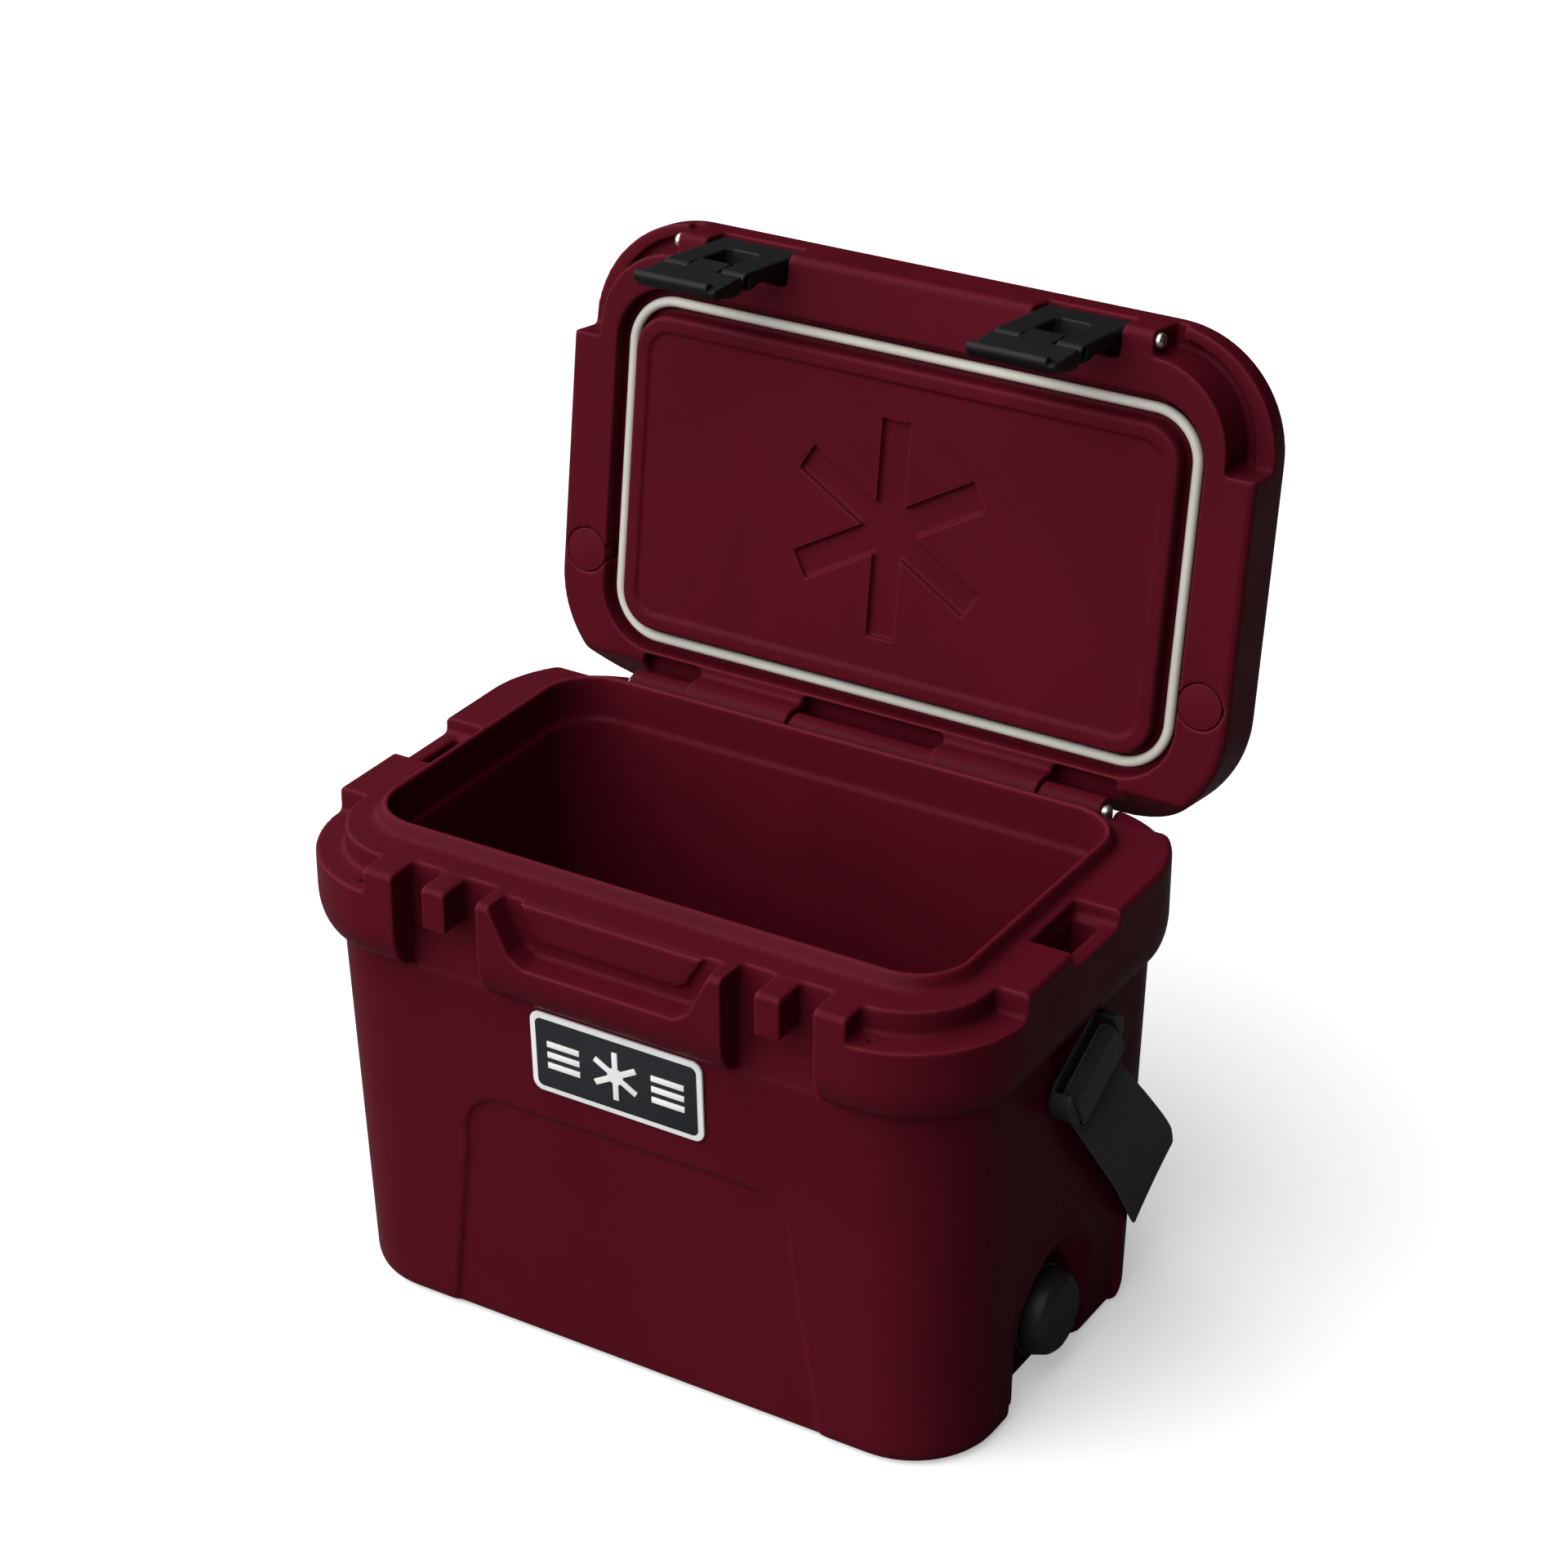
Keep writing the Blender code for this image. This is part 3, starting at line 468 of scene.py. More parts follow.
def woven(name, colour):
    """Ribbed webbing. The UV map runs across the strap in u and along it in v, in metres."""
    made, tree, shader = shader_of(name, colour, 0.78, ior=1.25)
    place = tree.nodes.new("ShaderNodeTexCoord")
    split = tree.nodes.new("ShaderNodeSeparateXYZ")
    tree.links.new(place.outputs["UV"], split.inputs["Vector"])

    def wave(source, pitch, offset=0.0):
        scaled = tree.nodes.new("ShaderNodeMath")
        scaled.operation = "MULTIPLY_ADD"
        scaled.inputs[1].default_value = 2 * math.pi / pitch
        scaled.inputs[2].default_value = offset
        tree.links.new(source, scaled.inputs[0])
        sine = tree.nodes.new("ShaderNodeMath")
        sine.operation = "SINE"
        tree.links.new(scaled.outputs[0], sine.inputs[0])
        return sine.outputs[0]

    def times(a, b):
        node = tree.nodes.new("ShaderNodeMath")
        node.operation = "MULTIPLY"
        tree.links.new(a, node.inputs[0])
        tree.links.new(b, node.inputs[1])
        return node.outputs[0]

    across = wave(split.outputs["X"], 0.0021)
    along = wave(split.outputs["Y"], 0.0017)
    weave = times(across, along)
    shade = ramp(tree, weave, -1.0, 1.0, 0.0, 1.0)
    dark = tuple(c * 0.55 for c in colour)
    light = tuple(c * 1.5 for c in colour)
    tree.links.new(tint(tree, shade, dark, light), shader.inputs["Base Color"])
    bump(tree, shader, weave, 0.35, 0.0004)
    shader.inputs["Sheen Weight"].default_value = 0.12
    return made


def make_looks():
    wine = (0.078, 0.0046, 0.0112)
    latch = (0.0065, 0.0063, 0.0070)
    black = (0.021, 0.020, 0.021)
    navy = (0.016, 0.018, 0.021)
    # In each moulded look the second colour is its painted highlight on convex edges.
    return {
        "wine": moulded("moulded_wine", wine, (0.15, 0.014, 0.027), 0.36, ior=1.1),
        "rubber": moulded("latch_rubber", latch, (0.011, 0.011, 0.012), 0.5, 1400.0, 0.2),
        "black": moulded("black_plastic", black, (0.034, 0.034, 0.035), 0.40, 1200.0, 0.12),
        "foot": moulded("foot_rubber", black, (0.03, 0.03, 0.03), 0.75, 800.0, 0.3),
        "seal": moulded("gasket_grey", (0.62, 0.60, 0.54), (0.66, 0.64, 0.58), 0.62, 700.0, 0.12),
        "white": moulded("badge_white", (0.80, 0.80, 0.79), (0.82, 0.82, 0.81), 0.4, 900.0, 0.03),
        "field": moulded("badge_field", navy, navy, 0.42, 900.0, 0.03),
        "steel": metal("steel", (0.60, 0.58, 0.54), 0.36),
        "foam": moulded("foam", (0.70, 0.62, 0.40), (0.72, 0.64, 0.42), 0.9, 300.0, 0.5),
        # Near black: the painted shadow in the gap at the strap flap's end.
        "hem": moulded("hem_thread", (0.003, 0.003, 0.003), (0.004, 0.004, 0.004), 0.8, ior=1.1),
        "web": woven("webbing", (0.017, 0.017, 0.019)),
    }


# ---------------------------------------------------------------- tub


def tub_front(z):
    """The y of the tub's front face, which leans in towards the floor."""
    share = (-BAND_END - z) / (-BAND_END - TUB_BOTTOM_Z)
    return TUB_TOP[1] + (TUB_BOTTOM[1] - TUB_TOP[1]) * share


def make_tub(look):
    rings = [
        rounded(*inset(TUB_BOTTOM, 4.0), SOLE_Z),
        rounded(*inset(TUB_BOTTOM, 1.2), SOLE_Z + 2.6),
        rounded(*TUB_BOTTOM, TUB_BOTTOM_Z),
        rounded(*TUB_TOP, -BAND_END),
    ]
    for k in range(1, 15):
        turn = math.radians(90 - 90 * k / 15)
        plan = between(RIM, TUB_TOP, 1 - math.cos(turn))
        rings.append(rounded(*plan, -BAND_DROP - (BAND_END - BAND_DROP) * math.sin(turn)))
    rings.append(rounded(*RIM, -BAND_DROP))
    rings.append(rounded(*RIM, -2.0))
    rings.append(rounded(*inset(RIM, 2.0), 0.0))
    shell = loft(rings)
    lip = loft(
        [
            rounded(*inset(OPENING, -8.6), -1.0),
            rounded(*inset(OPENING, -6.0), 1.2),
            rounded(*inset(OPENING, -3.4), LIP_HEIGHT - 1.4),
            rounded(*inset(OPENING, -1.8), LIP_HEIGHT),
        ]
    )
    add(shell, lip)
    cut(shell, block((-230, 125.5, -8), (230, 170, 30)), block((-152.5, 126, -21), (152.5, 170, 30)))
    knuckle = [(131, -24), (151, -24), (151, HINGE_Z)]
    knuckle += arc(HINGE_Y, HINGE_Z, TUB_KNUCKLE_R, 4, 176, 24) + [(131, HINGE_Z)]
    stretches = ((-44.4, 44.4), (-150, -112.6), (112.6, 150))
    add(shell, *[prism_x(knuckle, x0, x1) for x0, x1 in stretches])
    cavity = [
        rounded(*FLOOR_FLAT, FLOOR_Z),
        rounded(*between(FLOOR_FLAT, FLOOR_WALL, 0.55), FLOOR_Z + 2.4),
        rounded(*between(FLOOR_FLAT, FLOOR_WALL, 0.86), FLOOR_Z + 6.0),
        rounded(*FLOOR_WALL, -235.0),
        rounded(*LEDGE, -19.0),
        rounded(*OPENING, -17.0),
        rounded(*OPENING, 30.0),
    ]
    cut(shell, loft(cavity))
    for _, side in SIDES:
        cut_front(shell, side)
        cut_side(shell, side)
        bore = ((side * 28, HINGE_PIN_R + PIN_GAP), (side * 156, HINGE_PIN_R + PIN_GAP))
        cut(shell, turned_x(bore, HINGE_Y, HINGE_Z, 32))
    make_front_panel(shell)
    flare = [[(x, y, z) for y, z in drain_arch(half, 40)] for x, half in POCKET_FLARE]
    bore = turned_x(((140, 9.5), (190, 9.5)), DRAIN_Y, DRAIN_Z, 40)
    cut(shell, loft(flare), prism_x(drain_arch(POCKET_R, 40), POCKET_X, 230), bore)
    cut(
        shell,
        block((-260, -32, -300), (260, 91, UNDERSIDE_Z)),
        block((-118, -160, -300), (118, 190, UNDERSIDE_Z)),
        *[prism_z(ring_of(FOOT_R + 0.8, 40, x, y), -300, FOOT_SEAT_Z) for _, x, y in foot_places()],
        *[prism_z(ring_of(FILL_R + 0.6, 40, side * FILL_X, FILL_Y), -300, -270) for _, side in SIDES],
    )
    soften(shell, SHELL_VOXEL, SHELL_ROUNDS)
    settle(shell, "tub", TUB, "tub", look["wine"], "shell_plastic", "tub_shell", sharp=0)


def cut_front(shell, side):
    """The latch recess with its keeper, and the curved step on the front corner."""
    x0, x1 = span(side, 73.5, 126.5)
    recess = [(-140, 10), (-104, 10), (-104, -44), (-107.2, -61), (-140, -61)]
    cut(shell, prism_x(recess, x0, x1))
    x0, x1 = span(side, 93.2, 107.8)
    keeper = [(-125, -2), (-123, -0.5), (-103, -0.5), (-103, -24.5), (-125, -24.5)]
    add(shell, prism_x(keeper, x0, x1))
    step = arc(ARC_X, ARC_Y, ARC_R, -90, 0, 30)
    step += [(ARC_X + ARC_R, -58.5), (240, -58.5), (240, -150), (ARC_X, -150)]
    cut(shell, prism_z(mirrored(step, side), -14, 20))
    holes = ((152.8, -114), (198.6, -67.6))
    cut(shell, *[prism_z(ring_of(1.6, 16, side * x, y), -24, 0) for x, y in holes])


def cut_side(shell, side):
    """The tie-down notch with its slot, and the shallow arch low on the side."""
    x0, x1 = span(side, 184.5, 230)
    cut(shell, block((x0, -10, -9), (x1, 39, 20)))
    slot = [(185.5, 10), (201, 10), (201, -76), (197.3, -76), (185.5, -53)]
    cut(shell, prism_y(mirrored(slot, side), -6, 35))
    arch = [(-33, -290), (-33, -212)] + arc(2, -212, 35, 180, 90, 14)[1:]
    arch += arc(57, -212, 35, 90, 0, 14) + [(92, -290)]
    inner = [(side * (196.9 + (z + 177) * 0.0743), y, z) for y, z in arch]
    outer = [(side * 230, y, z) for y, z in arch]
    cut(shell, loft([inner, outer]))


def make_front_panel(shell):
    """The raised plate in its groove at the middle of the rim, and the wide arch below it."""
    groove = [(66, 12), (66, -1), (54, -25), (46, -30.5)]
    groove = groove + [(-x, z) for x, z in reversed(groove)]
    cut(shell, prism_y(groove, -140, -108.6))
    plate = [(55, -0.6), (45, -18), (40, -20.5)]
    plate = plate + [(-x, z) for x, z in reversed(plate)]
    add(shell, prism_y(plate, -112.2, -106))
    half = [(119, -292), (116.5, -276), (101, -165)] + arc(76, -156, 25, 0, 90, 16)
    outline = half + [(-x, z) for x, z in reversed(half)]
    inner = [(x, tub_front(z) + 2.2, z) for x, z in outline]
    outer = [(x, -140, z) for x, z in outline]
    cut(shell, loft([inner, outer]))


def foot_places():
    ends = (("front", -64), ("back", 104))
    return [(f"{end}_{word}", side * FOOT_X, y) for end, y in ends for word, side in SIDES]


def drain_arch(half, steps):
    """An arch about the drain's axis, open to the floor, as (y, z)."""
    arch = [(DRAIN_Y - half, -300)] + arc(DRAIN_Y, DRAIN_Z, half, 180, 0, steps)
    return arch + [(DRAIN_Y + half, -300)]


def crystal(reach, arm, cx=0.0, cy=0.0):
    """A plain six-armed star outline, as (a, b) pairs."""
    points = []
    for k in range(6):
        turn = math.radians(60 * k)
        step = math.radians(30)
        a, b = math.sin(turn), math.cos(turn)
        points.append((cx + a * reach - b * arm, cy + b * reach + a * arm))
        points.append((cx + a * reach + b * arm, cy + b * reach - a * arm))
        inner = arm / math.sin(step)
        mid = turn + step
        points.append((cx + math.sin(mid) * inner, cy + math.cos(mid) * inner))
    return points


def make_badge(look):
    """A white-bordered plate with a dark field and a plain star-shaped emblem."""
    lean = math.atan2(TUB_BOTTOM[1] - TUB_TOP[1], -BAND_END - TUB_BOTTOM_Z)
    place = TUB @ shift(0, tub_front(BADGE_Z) - 0.3, BADGE_Z) @ Matrix.Rotation(lean, 4, "X")
    outline = rounded_box(52.7, 24.2, 6.0, 10)
    inner = rounded_box(49.3, 20.8, 3.6, 10)
    plate = loft([[(x, y, z) for x, z in outline] for y in (0.2, -1.6)])
    bevel(plate, 0.5, 3, 60)
    settle(plate, "badge_border", place, "tub", look["white"], "badge", "badge_plate")
    field = loft([[(x, y, z) for x, z in inner] for y in (-1.0, -1.9)])
    bevel(field, 0.15, 2, 60)
    settle(field, "badge_field", place, "tub", look["field"], "badge")
    raised = (-1.5, -2.5)
    arm = 1.7
    star = prism_y(crystal(14.5, arm), *raised)
    turns = [t * math.pi / 3 for t in range(6)]
    hexagon = prism_y([(5.6 * math.sin(t), 5.6 * math.cos(t)) for t in turns], *raised)
    bars = []
    for _, side in SIDES:
        near, far = side * 22, side * 42
        for z in (-6.5, 0.0, 6.5):
            bar = [(near, z - arm), (far, z - arm), (far, z + arm), (near, z + arm)]
            bars.append(prism_y(bar, *raised))
    add(star, hexagon, *bars)
    bevel(star, 0.15, 2, 60)
    settle(star, "badge_emblem", place, "tub", look["white"], "badge")


def make_small_tub_parts(look):
    for word, side in SIDES:
        plug = prism_z(ring_of(FILL_R, 48, side * FILL_X, FILL_Y), UNDERSIDE_Z - 0.5, UNDERSIDE_Z + 4.6)
        bevel(plug, 0.5, 2)
        node = "tub_fill_plug_" + word
        settle(plug, "tub_plug_" + word, TUB, "tub", look["wine"], "shell_plastic", node)
        outline = ((30, -1.0), (31, 0.0), (151.6, 0.0), (152.7, -0.7), (153, -1.8))
        pin = turned_x([(side * x, HINGE_PIN_R + more) for x, more in outline], HINGE_Y, HINGE_Z, 32)
        settle(pin, "pin_hinge_" + word, TUB, "tub", look["steel"], "steel", "hinge_pin_" + word)
    for tag, x, y in foot_places():
        outline = ((-RIM_Z, 13.0), (-RIM_Z + 0.5, 13.8), (-RIM_Z + 1.5, FOOT_R))
        outline += ((FOOT_SEAT_Z - 0.3, FOOT_R),)
        foot = loft([[(a, b, z) for a, b in ring_of(r, 40, x, y)] for z, r in outline])
        settle(foot, "foot_" + tag, TUB, "tub", look["foot"], "rubber", "rubber_foot_" + tag)


# ---------------------------------------------------------------- lid


def corner_recess(side):
    """The step in the lid's front corner, over the curved step on the tub."""
    step = arc(ARC_X, ARC_Y, ARC_R, -90, 0, 30)
    step += [(ARC_X + ARC_R, ARC_END), (240, ARC_END), (240, -150), (ARC_X, -150)]
    return mirrored(step, side)


def corner_channel(side):
    """The deep channel along the recess's curved wall, up to the pocket at the latch pin's end."""
    outer = ARC_R + CHANNEL
    band = [(ARC_X, -150), (ARC_X + CHANNEL, -150)] + arc(ARC_X, ARC_Y, outer, -83, 0, 30)
    band += [(ARC_X + outer, ARC_END), (ARC_X + ARC_R, ARC_END)]
    band += arc(ARC_X, ARC_Y, ARC_R, 0, -90, 30)
    return mirrored(band, side)


def make_lid(look):
    rings = [
        rounded(*inset(LID_SIDE, 3.5), FLANGE_Z),
        rounded(*inset(LID_SIDE, 1.0), FLANGE_Z + 1.2),
        rounded(*inset(LID_SIDE, 0.2), FLANGE_Z + 3.6),
        rounded(*LID_SIDE, 37.0),
        rounded(*inset(LID_SIDE, 0.6), 39.6),
        rounded(*inset(LID_SIDE, 1.9), 42.0),
        rounded(*inset(LID_SIDE, 4.0), 44.2),
        rounded(*inset(LID_SIDE, 7.0), 45.9),
        rounded(*inset(LID_SIDE, 10.5), LID_TOP_Z - 0.4),
        rounded(*inset(LID_SIDE, 24.0), LID_TOP_Z),
        rounded(*inset(LID_SIDE, 27.0), LID_TOP_Z - 2.0),
    ]
    shell = loft(rings)
    slope = [(129, -5), (129, FLANGE_Z), (153, 27), (175, 27), (175, -5)]
    cut(shell, prism_x(slope, -230, 230), loft([rounded(*GROOVE_OUT, z) for z in (-8.0, GROOVE_Z)]))
    add(shell, loft([rounded(*inset(PANEL, 0.8), z) for z in (LINER_Z, 16.0)]))
    pocket = [(124.5, -5), (124.5, 8), (129, 13), (145, 13), (145, -5)]
    stretches = ((-44.7, 44.7), (-151, -112.3), (112.3, 151))
    cut(shell, *[prism_x(pocket, x0, x1) for x0, x1 in stretches])
    knuckle = arc(HINGE_Y, HINGE_Z, KNUCKLE_R, 180, 360, 30) + [(151, 20), (129, 14)]
    for _, side in SIDES:
        add(shell, prism_x(knuckle, *span(side, 45, 112)))
        bore = ((side * 20, HINGE_PIN_R + PIN_GAP), (side * 160, HINGE_PIN_R + PIN_GAP))
        cut(shell, turned_x(bore, HINGE_Y, HINGE_Z, 32))
        cut(shell, prism_z(corner_recess(side), -10, 25), prism_z(corner_channel(side), -10, 31))
        x0, x1 = span(side, 74.2, 126.8)
        cut(shell, block((x0, -140, -10), (x1, -103.2, 21.6)))
        bore = ((side * 68, LATCH_PIN_R + PIN_GAP), (side * 150, LATCH_PIN_R + PIN_GAP))
        cut(shell, turned_x(bore, LATCH_Y, LATCH_Z, 32))
        cut(shell, prism_z(ring_of(PLUG_R + 0.5, 48, side * PLUG_X, PLUG_Y), -10, 19))
    soften(shell, SHELL_VOXEL, SHELL_ROUNDS)
    settle(shell, "lid", LID, "lid", look["wine"], "shell_plastic", "lid_shell", sharp=0)


def make_liner(look):
    """The panel that drops into the tub's mouth: a shallow step near its edge and a sunk star."""
    rings = [rounded(*inset(PANEL, 1.4), PANEL_Z), rounded(*inset(PANEL, 0.5), PANEL_Z + 0.5)]
    rings += [rounded(*PANEL, PANEL_Z + 1.6), rounded(*PANEL, LINER_Z + 3.0)]
    liner = loft(rings)
    step = loft([rounded(*PANEL_STEP, z) for z in (-5.0, PANEL_Z + 1.5)])
    star = prism_z(crystal(62, 8.5, 0, 18), -5, PANEL_Z + 4.7)
    cut(liner, step, star)
    soften(liner, LINER_VOXEL, 2)
    settle(liner, "lid_liner", LID, "lid", look["wine"], "shell_plastic")


def make_small_lid_parts(look):
    bead = swept_ring(GASKET, GASKET_Z, GASKET_R)
    settle(bead, "gasket", LID, "lid", look["seal"], "gasket", "lid_gasket", sharp=0)
    for word, side in SIDES:
        plug = prism_z(ring_of(PLUG_R, 56, side * PLUG_X, PLUG_Y), FLANGE_Z + 0.2, 18.0)
        bevel(plug, 0.5, 3)
        node = "lid_fill_plug_" + word
        settle(plug, "lid_plug_" + word, LID, "lid", look["wine"], "shell_plastic", node)
        shaft = ((70, LATCH_PIN_R - 0.6), (70.6, LATCH_PIN_R), (145.4, LATCH_PIN_R))
        head = ((145.4, LATCH_PIN_HEAD_R), (147.2, LATCH_PIN_HEAD_R), (148.6, 3.0))
        pin = turned_x([(side * x, r) for x, r in shaft + head], LATCH_Y, LATCH_Z, 32)
        settle(pin, "pin_latch_" + word, LID, "lid", look["steel"], "steel", "latch_pin_" + word)


# ---------------------------------------------------------------- latches


def side_on(profile):
    """A latch profile's (y, z), from (u, v) with u along the latch from its pin and v outwards."""
    return [(-v, -u) for u, v in profile]


def make_latch(look, word, side):
    """The frame with its window and the pin at its far end, then the lever with its tongue and lip."""
    middle = side * LATCH_X
    low, high = middle - LATCH_HALF, middle + LATCH_HALF
    body = [(-11.6, 2.4), (-11.2, 3.8), (46.0, 3.4)]
    body += arc(LEVER_PIVOT_U, LEVER_PIVOT_V, 4.9, 78, -78, 16)
    body += [(46.0, -6.4), (41.0, -6.8), (35.0, -5.0), (12.0, -4.8)]
    body += [(6.0, -7.0), (-4.0, -7.2), (-9.4, -3.0), (-9.6, 1.6)]
    arms = prism_x(side_on(body), low, high)
    window = ((10.2, -68), (10.2, -11), (7.2, -8), (-7.2, -8), (-10.2, -11), (-10.2, -68))
    cut(arms, prism_y([(middle + x, z) for x, z in window], -14, 18))
    bore = LATCH_PIN_R + PIN_GAP
    cut(arms, turned_x(((low - 5, bore), (high + 5, bore)), 0, 0, 40))
    y, z = -LEVER_PIVOT_V, -LEVER_PIVOT_U
    wells = ((low - 2, low + 4), (high - 4, high + 2))
    cut(arms, *[turned_x(((x0, 3.3), (x1, 3.3)), y, z, 32) for x0, x1 in wells])
    soften(arms, SMALL_VOXEL, SMALL_ROUNDS)
    body, node = "latch_" + word, "latch_frame_" + word
    settle(arms, "latch_" + word, LATCH, body, look["rubber"], "latch_rubber", node, sharp=0)
    pin = turned_x(((low + 3.4, 2.6), (high - 3.4, 2.6)), y, z, 32)
    bevel(pin, 0.4, 2)
    settle(pin, "pin_lever_" + word, LATCH, body, look["steel"], "steel", "lever_pin_" + word)

    plate = [(5.8, 4.7), (30.8, 4.7), (33.2, 3.9), (32.6, 2.0), (30.0, -1.3)]
    plate += [(25.0, -1.6), (18.0, -3.8), (12.0, -4.8), (5.8, -4.8)]
    lever = prism_x(side_on(plate), low, high)
    lip = [(26.0, 4.0), (28.0, 6.6), (29.8, 7.7), (31.8, 7.8), (33.4, 6.6), (33.8, 4.8), (33.2, 3.0)]
    add(lever, prism_x(side_on(lip), low + 0.2, high - 4.6))
    tongue = [(-9.2, 4.6), (8.0, 4.6), (8.0, -3.8), (2.0, -4.7), (-4.0, -4.6), (-9.2, -1.0)]
    add(lever, prism_x(side_on(tongue), middle - 9.7, middle + 9.7))
    cut(lever, turned_x(((middle - 12, 2.9), (middle + 12, 2.9)), 0, 0, 32))
    soften(lever, SMALL_VOXEL, SMALL_ROUNDS)
    body, node = "lever_" + word, "latch_lever_" + word
    settle(lever, "lever_" + word, LEVER, body, look["rubber"], "latch_rubber", node, sharp=0)


# ---------------------------------------------------------------- drain


def make_drain(look):
    outline = (
        (157.2, 9.0),
        (POCKET_X + 2.3, 9.0),
        (POCKET_X + 2.3, 25.5),
        (POCKET_X + 2.8, 26.0),
        (POCKET_X + 5.3, 26.0),
        (POCKET_X + 6.1, 25.6),
        (POCKET_X + 6.5, 25.0),
        (POCKET_X + 6.5, 17.0),
        (193.8, 17.0),
    )
    spout = turned_x(outline, DRAIN_Y, DRAIN_Z, 64)
    cut(spout, turned_x(((150, 6.0), (210, 6.0)), DRAIN_Y, DRAIN_Z, 48))
    settle(spout, "spout", TUB, "tub", look["black"], "black_plastic", "drain_spout")
    outline = ((POCKET_X + 0.3, 22.2), (POCKET_X + 1.1, 22.6), (POCKET_X + 2.0, 22.2))
    seal = turned_x(outline, DRAIN_Y, DRAIN_Z, 64)
    cut(seal, turned_x(((170, 9.3), (190, 9.3)), DRAIN_Y, DRAIN_Z, 48))
    settle(seal, "spout_seal", TUB, "tub", look["foot"], "rubber", "drain_seal")
    outline = (
        (POCKET_X + 6.9, 23.8),
        (POCKET_X + 7.6, 24.5),
        (188.6, 24.4),
        (194.9, 22.4),
        (195.6, 22.0),
        (197.8, 20.0),
        (198.4, 19.2),
        (198.5, 5.0),
    )
    cap = turned_x(outline, 0, 0, 96)
    cut(cap, turned_x(((170, 17.4), (194.2, 17.4)), 0, 0, 64))
    place = TUB @ shift(0, DRAIN_Y, DRAIN_Z)
    settle(cap, "spout_cap", place, "cap", look["black"], "black_plastic", "drain_cap")


# ---------------------------------------------------------------- strap


def smooth_route(points, per_span):
    """Points on a Catmull-Rom curve through the route's own points."""
    whole = [Vector(p) for p in (points[0], *points, points[-1])]
    made = []
    for k in range(1, len(whole) - 2):
        a, b, c, d = whole[k - 1 : k + 3]
        for i in range(per_span):
            t = i / per_span
            square = 2 * a - 5 * b + 4 * c - d
            cube = 3 * b - a - 3 * c + d
            made.append(0.5 * (2 * b + (c - a) * t + square * t * t + cube * t**3))
    made.append(whole[-1])
    return made


def bar_loop(steps):
    """The strap's folded end: a flap outside the bar, over it and down behind."""
    tilt = math.radians(BAR_TILT)
    bend = BAR_R + 0.3 + WEB_THICK / 2
    fold = [(bend + 0.5, FLAP), (bend + 1.2, FLAP * 0.84), (bend + 1.7, FLAP * 0.62)]
    fold += [(bend + 1.5, FLAP * 0.38), (bend + 0.7, FLAP * 0.16)]
    fold += arc(0, 0, bend, 0, -180, steps) + [(-bend, 4.5), (-bend, 9.0)]
    sine, cosine = math.sin(tilt), math.cos(tilt)
    bar_x = PIVOT_X + BAR_OUT
    return [Vector((bar_x + out, BAR_Y + down * sine, BAR_Z - down * cosine)) for out, down in fold]


def web_facing(x, y):
    """Which way the strap's flat face looks: sideways, then turned round the rear corner to the back.

    Between the bracket and the back it also leans, so its lower edge hangs in towards the tub.
    """
    out = max(abs(x) - WEB_TURN_X, 0.0)
    back = max(y - WEB_TURN_Y, 0.0)
    after_bracket = min(max((y - 41.0) / 59.0, 0.0), 1.0)
    before_back = min(max((abs(x) - 110.0) / 75.0, 0.0), 1.0)
    down = WEB_LEAN * after_bracket * before_back * math.hypot(out, back)
    return Vector((math.copysign(out, x), back, -down)).normalized()


def make_webbing(look):
    """The strap as one ribbon with turned edges, and a UV map in metres for its weave."""
    tilt = math.radians(BAR_TILT)
    half = bar_loop(16) + smooth_route(WEB_ROUTE, 10)
    line = [Vector((-p.x, p.y, p.z)) for p in half[:-1]] + list(reversed(half))
    edge = rounded_box(WEB_WIDTH / 2, WEB_THICK / 2, 0.95, 3)
    count = len(edge)
    points = []
    faces = []
    travelled = [0.0]
    for k, here in enumerate(line):
        run = (line[min(k + 1, len(line) - 1)] - line[max(k - 1, 0)]).normalized()
        if here.y < PIVOT_Y + 8:
            across = Vector((0.0, math.cos(tilt), math.sin(tilt)))
        else:
            across = web_facing(here.x, here.y).cross(run)
            across *= math.copysign(1.0, across.z)
        across = (across - run * across.dot(run)).normalized()
        face = run.cross(across)
        points += [here + across * a + face * b for a, b in edge]
        if k:
            travelled.append(travelled[-1] + (here - line[k - 1]).length)
            base = (k - 1) * count
            for i in range(count):
                j = (i + 1) % count
                faces.append((base + i, base + j, base + count + j, base + count + i))
    faces.append(tuple(reversed(range(count))))
    faces.append(tuple((len(line) - 1) * count + i for i in range(count)))
    ribbon = solid(points, faces)
    layer = ribbon.data.uv_layers.new(name="weave")
    for corner in ribbon.data.loops:
        ring, place = divmod(corner.vertex_index, count)
        layer.data[corner.index].uv = (edge[place][0] * MM, travelled[ring] * MM)
    settle(ribbon, "webbing", TUB, "strap", look["web"], "webbing", "strap_webbing")


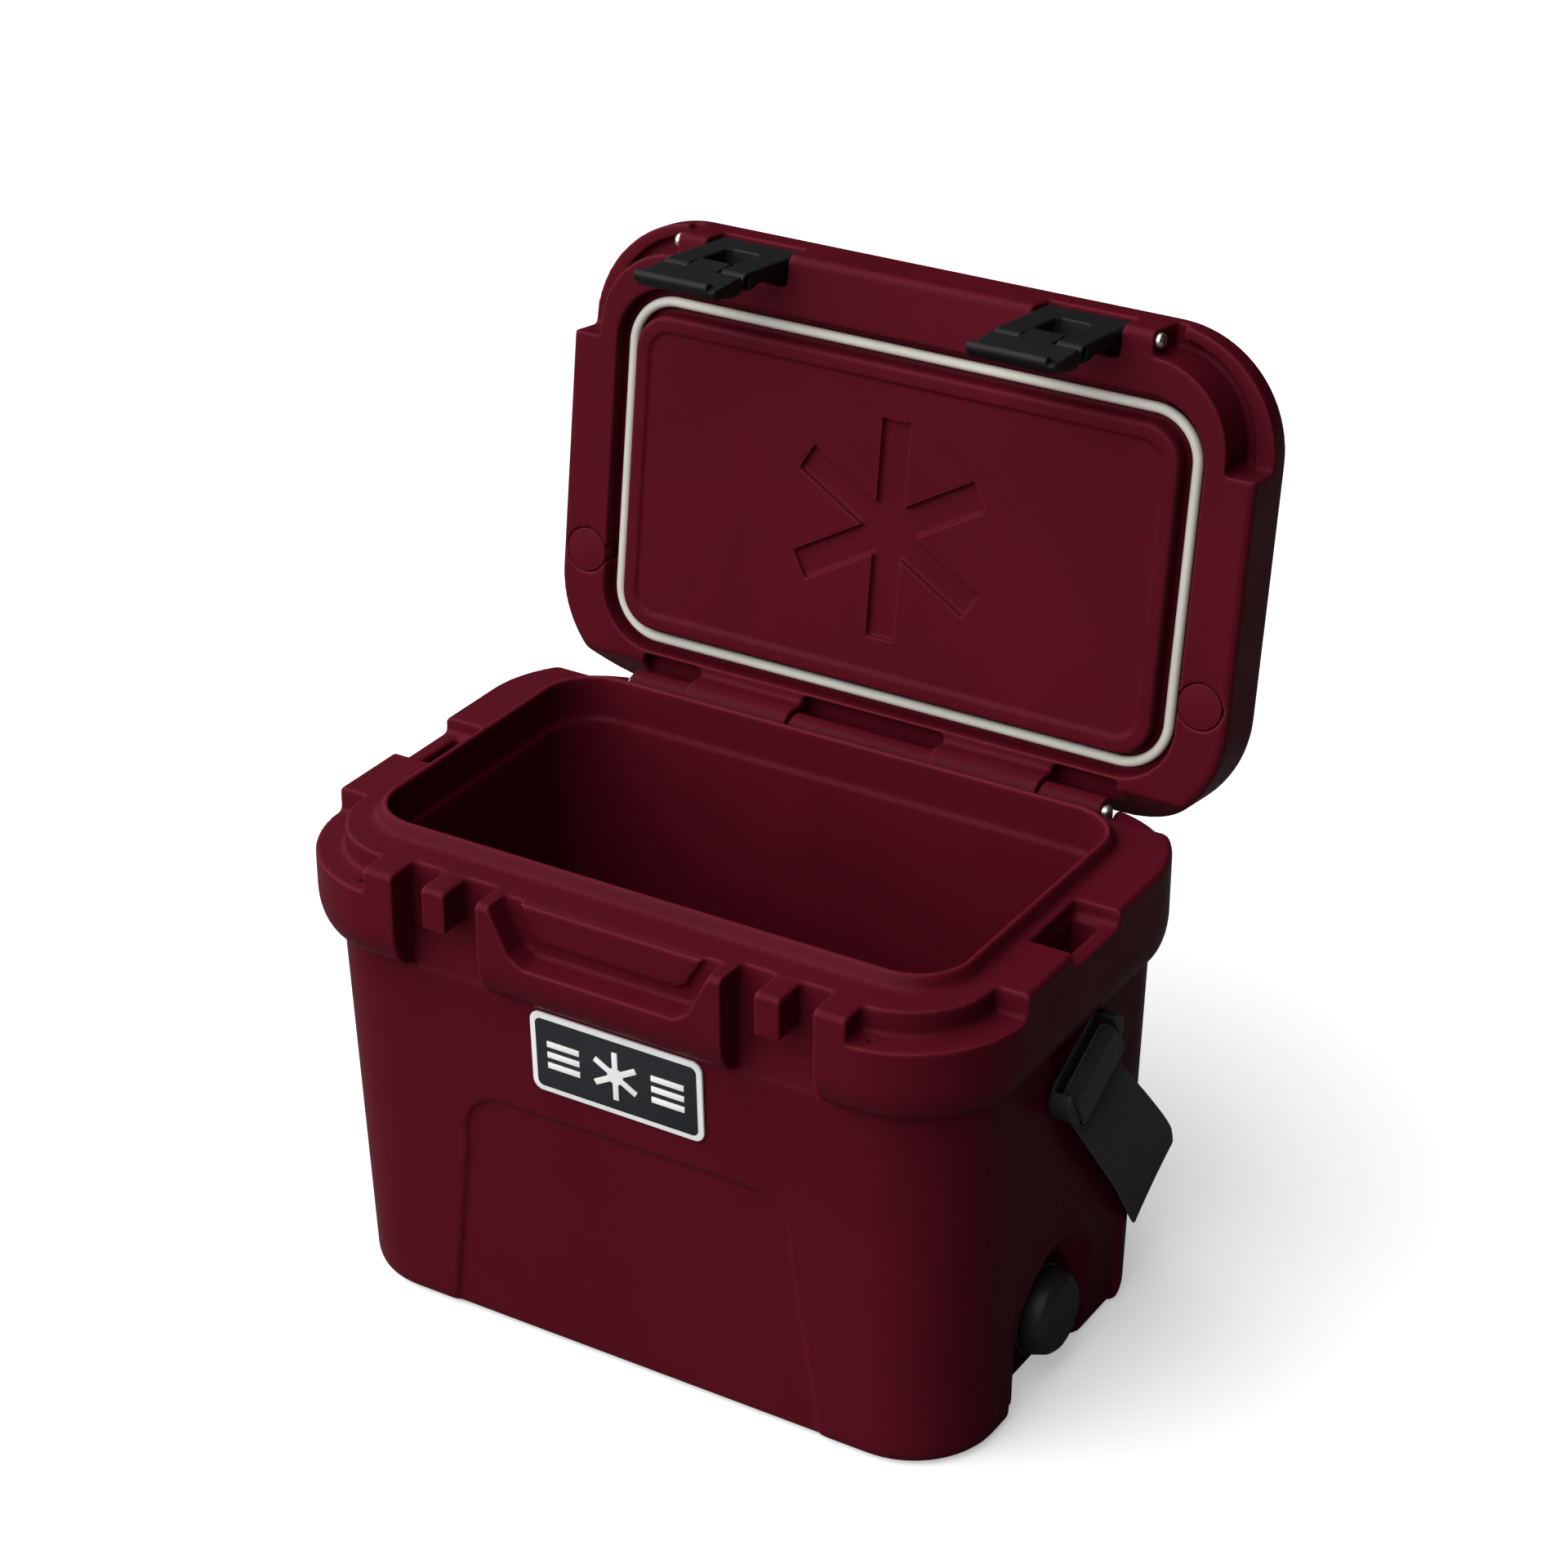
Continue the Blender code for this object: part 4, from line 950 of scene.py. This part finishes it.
def make_bracket(look, word, side):
    """The bracket that turns on the tub's side, with two ears that hold the strap's bar."""
    outline = ((side * (PIVOT_X + 0.2), 12.0), (side * (PIVOT_X + 1.5), 12.0))
    base = turned_x(outline, PIVOT_Y, PIVOT_Z, 48)
    settle(base, "base_" + word, TUB, "tub", look["steel"], "steel", "strap_base_" + word)
    lift = math.radians(BAR_TILT)
    over = (PIVOT_Y - BAR_Y) * math.cos(lift) + (PIVOT_Z - BAR_Z) * math.sin(lift)
    below = (PIVOT_Z - BAR_Z) * math.cos(lift) - (PIVOT_Y - BAR_Y) * math.sin(lift)
    plate = arc(22, 0, EAR_R, -70, 90, 24) + arc(-19.5, -1, FRONT_EAR_R, 90, 250, 24)
    plate += arc(over, below, 12, 195, 345, 24)
    bracket = prism_x(plate, *span(side, PIVOT_X + 1.8, PIVOT_X + 3.9))
    ears = (arc(22, 0, EAR_R, -74, 74, 30), arc(-19.5, -1, FRONT_EAR_R, 115, 245, 30))
    add(bracket, *[prism_x(ear, *span(side, PIVOT_X + 1.8, PIVOT_X + 14.0)) for ear in ears])
    soften(bracket, SMALL_VOXEL, SMALL_ROUNDS + 2)
    name, node = "bracket_" + word, "strap_bracket_" + word
    settle(bracket, name, BRACKET, "strap", look["black"], "black_plastic", node, sharp=0)
    # A black strip across the strap at the flap's end: painted shadow in the gap under the flap.
    x0, x1 = span(side, PIVOT_X + BAR_OUT + 2.2, PIVOT_X + BAR_OUT + 5.4)
    hem = block((x0, -24.0, -FLAP - 1.2), (x1, 24.0, -FLAP + 0.4))
    bevel(hem, 0.3, 2)
    settle(hem, "flap_hem_" + word, BRACKET, "strap", look["hem"], "webbing")
    centre = (side * (PIVOT_X + BAR_OUT), 0.0)
    bar = loft([[(x, y, z) for x, z in ring_of(BAR_R, 32, *centre)] for y in (-24.2, 24.2)])
    settle(bar, "bar_" + word, BRACKET, "strap", look["steel"], "steel", "strap_bar_" + word)


# ---------------------------------------------------------------- stage


def make_stage():
    floor = block((-4000, -4000, -20), (4000, 4000, 0))
    floor.name = "floor"
    made, tree, shader = shader_of("floor", FLOOR_SEEN, 0.9)
    shader.inputs["Emission Color"].default_value = (1, 1, 1, 1)
    shader.inputs["Emission Strength"].default_value = FLOOR_GLOW
    dull = tree.nodes.new("ShaderNodeBsdfDiffuse")
    dull.inputs["Color"].default_value = (*FLOOR_BOUNCE, 1.0)
    path = tree.nodes.new("ShaderNodeLightPath")
    mix = tree.nodes.new("ShaderNodeMixShader")
    tree.links.new(path.outputs["Is Camera Ray"], mix.inputs["Fac"])
    tree.links.new(dull.outputs["BSDF"], mix.inputs[1])
    tree.links.new(shader.outputs["BSDF"], mix.inputs[2])
    tree.links.new(mix.outputs["Shader"], tree.nodes["Material Output"].inputs["Surface"])
    floor.data.materials.append(made)
    floor.data.transform(shift(0, 0, -0.2))


def make_lights():
    """A sun from the front left, and a sky that is bright on that side and white to look at."""
    world = bpy.data.worlds.new("studio")
    world.use_nodes = True
    tree = world.node_tree
    toward = tree.nodes.new("ShaderNodeVectorMath")
    toward.operation = "DOT_PRODUCT"
    toward.inputs[1].default_value = Vector(SKY_TOWARD).normalized()
    place = tree.nodes.new("ShaderNodeTexCoord")
    tree.links.new(place.outputs["Generated"], toward.inputs[0])
    fade = ramp(tree, toward.outputs["Value"], *SKY_RAMP)
    seen = tree.nodes.new("ShaderNodeLightPath")
    brighter = tree.nodes.new("ShaderNodeMath")
    brighter.operation = "MAXIMUM"
    tree.links.new(fade, brighter.inputs[0])
    tree.links.new(seen.outputs["Is Camera Ray"], brighter.inputs[1])
    background = tree.nodes["Background"]
    background.inputs["Color"].default_value = (1, 1, 1, 1)
    tree.links.new(brighter.outputs[0], background.inputs["Strength"])
    bpy.context.scene.world = world
    light = bpy.data.lights.new("key", "SUN")
    light.energy = SUN_POWER
    light.angle = math.radians(SUN_SPREAD)
    made = bpy.data.objects.new("key", light)
    made.rotation_euler = Vector(SUN_TOWARD).to_track_quat("Z", "Y").to_euler()
    bpy.context.scene.collection.objects.link(made)


def make_camera():
    camera = bpy.data.cameras.new("camera")
    camera.lens = LENS
    camera.sensor_width = 36.0
    made = bpy.data.objects.new("camera", camera)
    made.location = CAMERA_AT
    made.rotation_euler = [math.radians(a) for a in CAMERA_TURN]
    bpy.context.scene.collection.objects.link(made)
    bpy.context.scene.camera = made
    bpy.context.scene.view_settings.view_transform = "Standard"


# ---------------------------------------------------------------- whole scene

make_camera()
make_lights()
make_stage()
looks = make_looks()
for node in ("tub_foam", "lid_foam"):
    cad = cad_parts[node]
    cad.data.materials.clear()
    cad.data.materials.append(looks["foam"])
make_tub(looks)
make_badge(looks)
make_small_tub_parts(looks)
make_lid(looks)
make_liner(looks)
make_small_lid_parts(looks)
for word, side in SIDES:
    make_latch(looks, word, side)
    make_bracket(looks, word, side)
make_drain(looks)
make_webbing(looks)
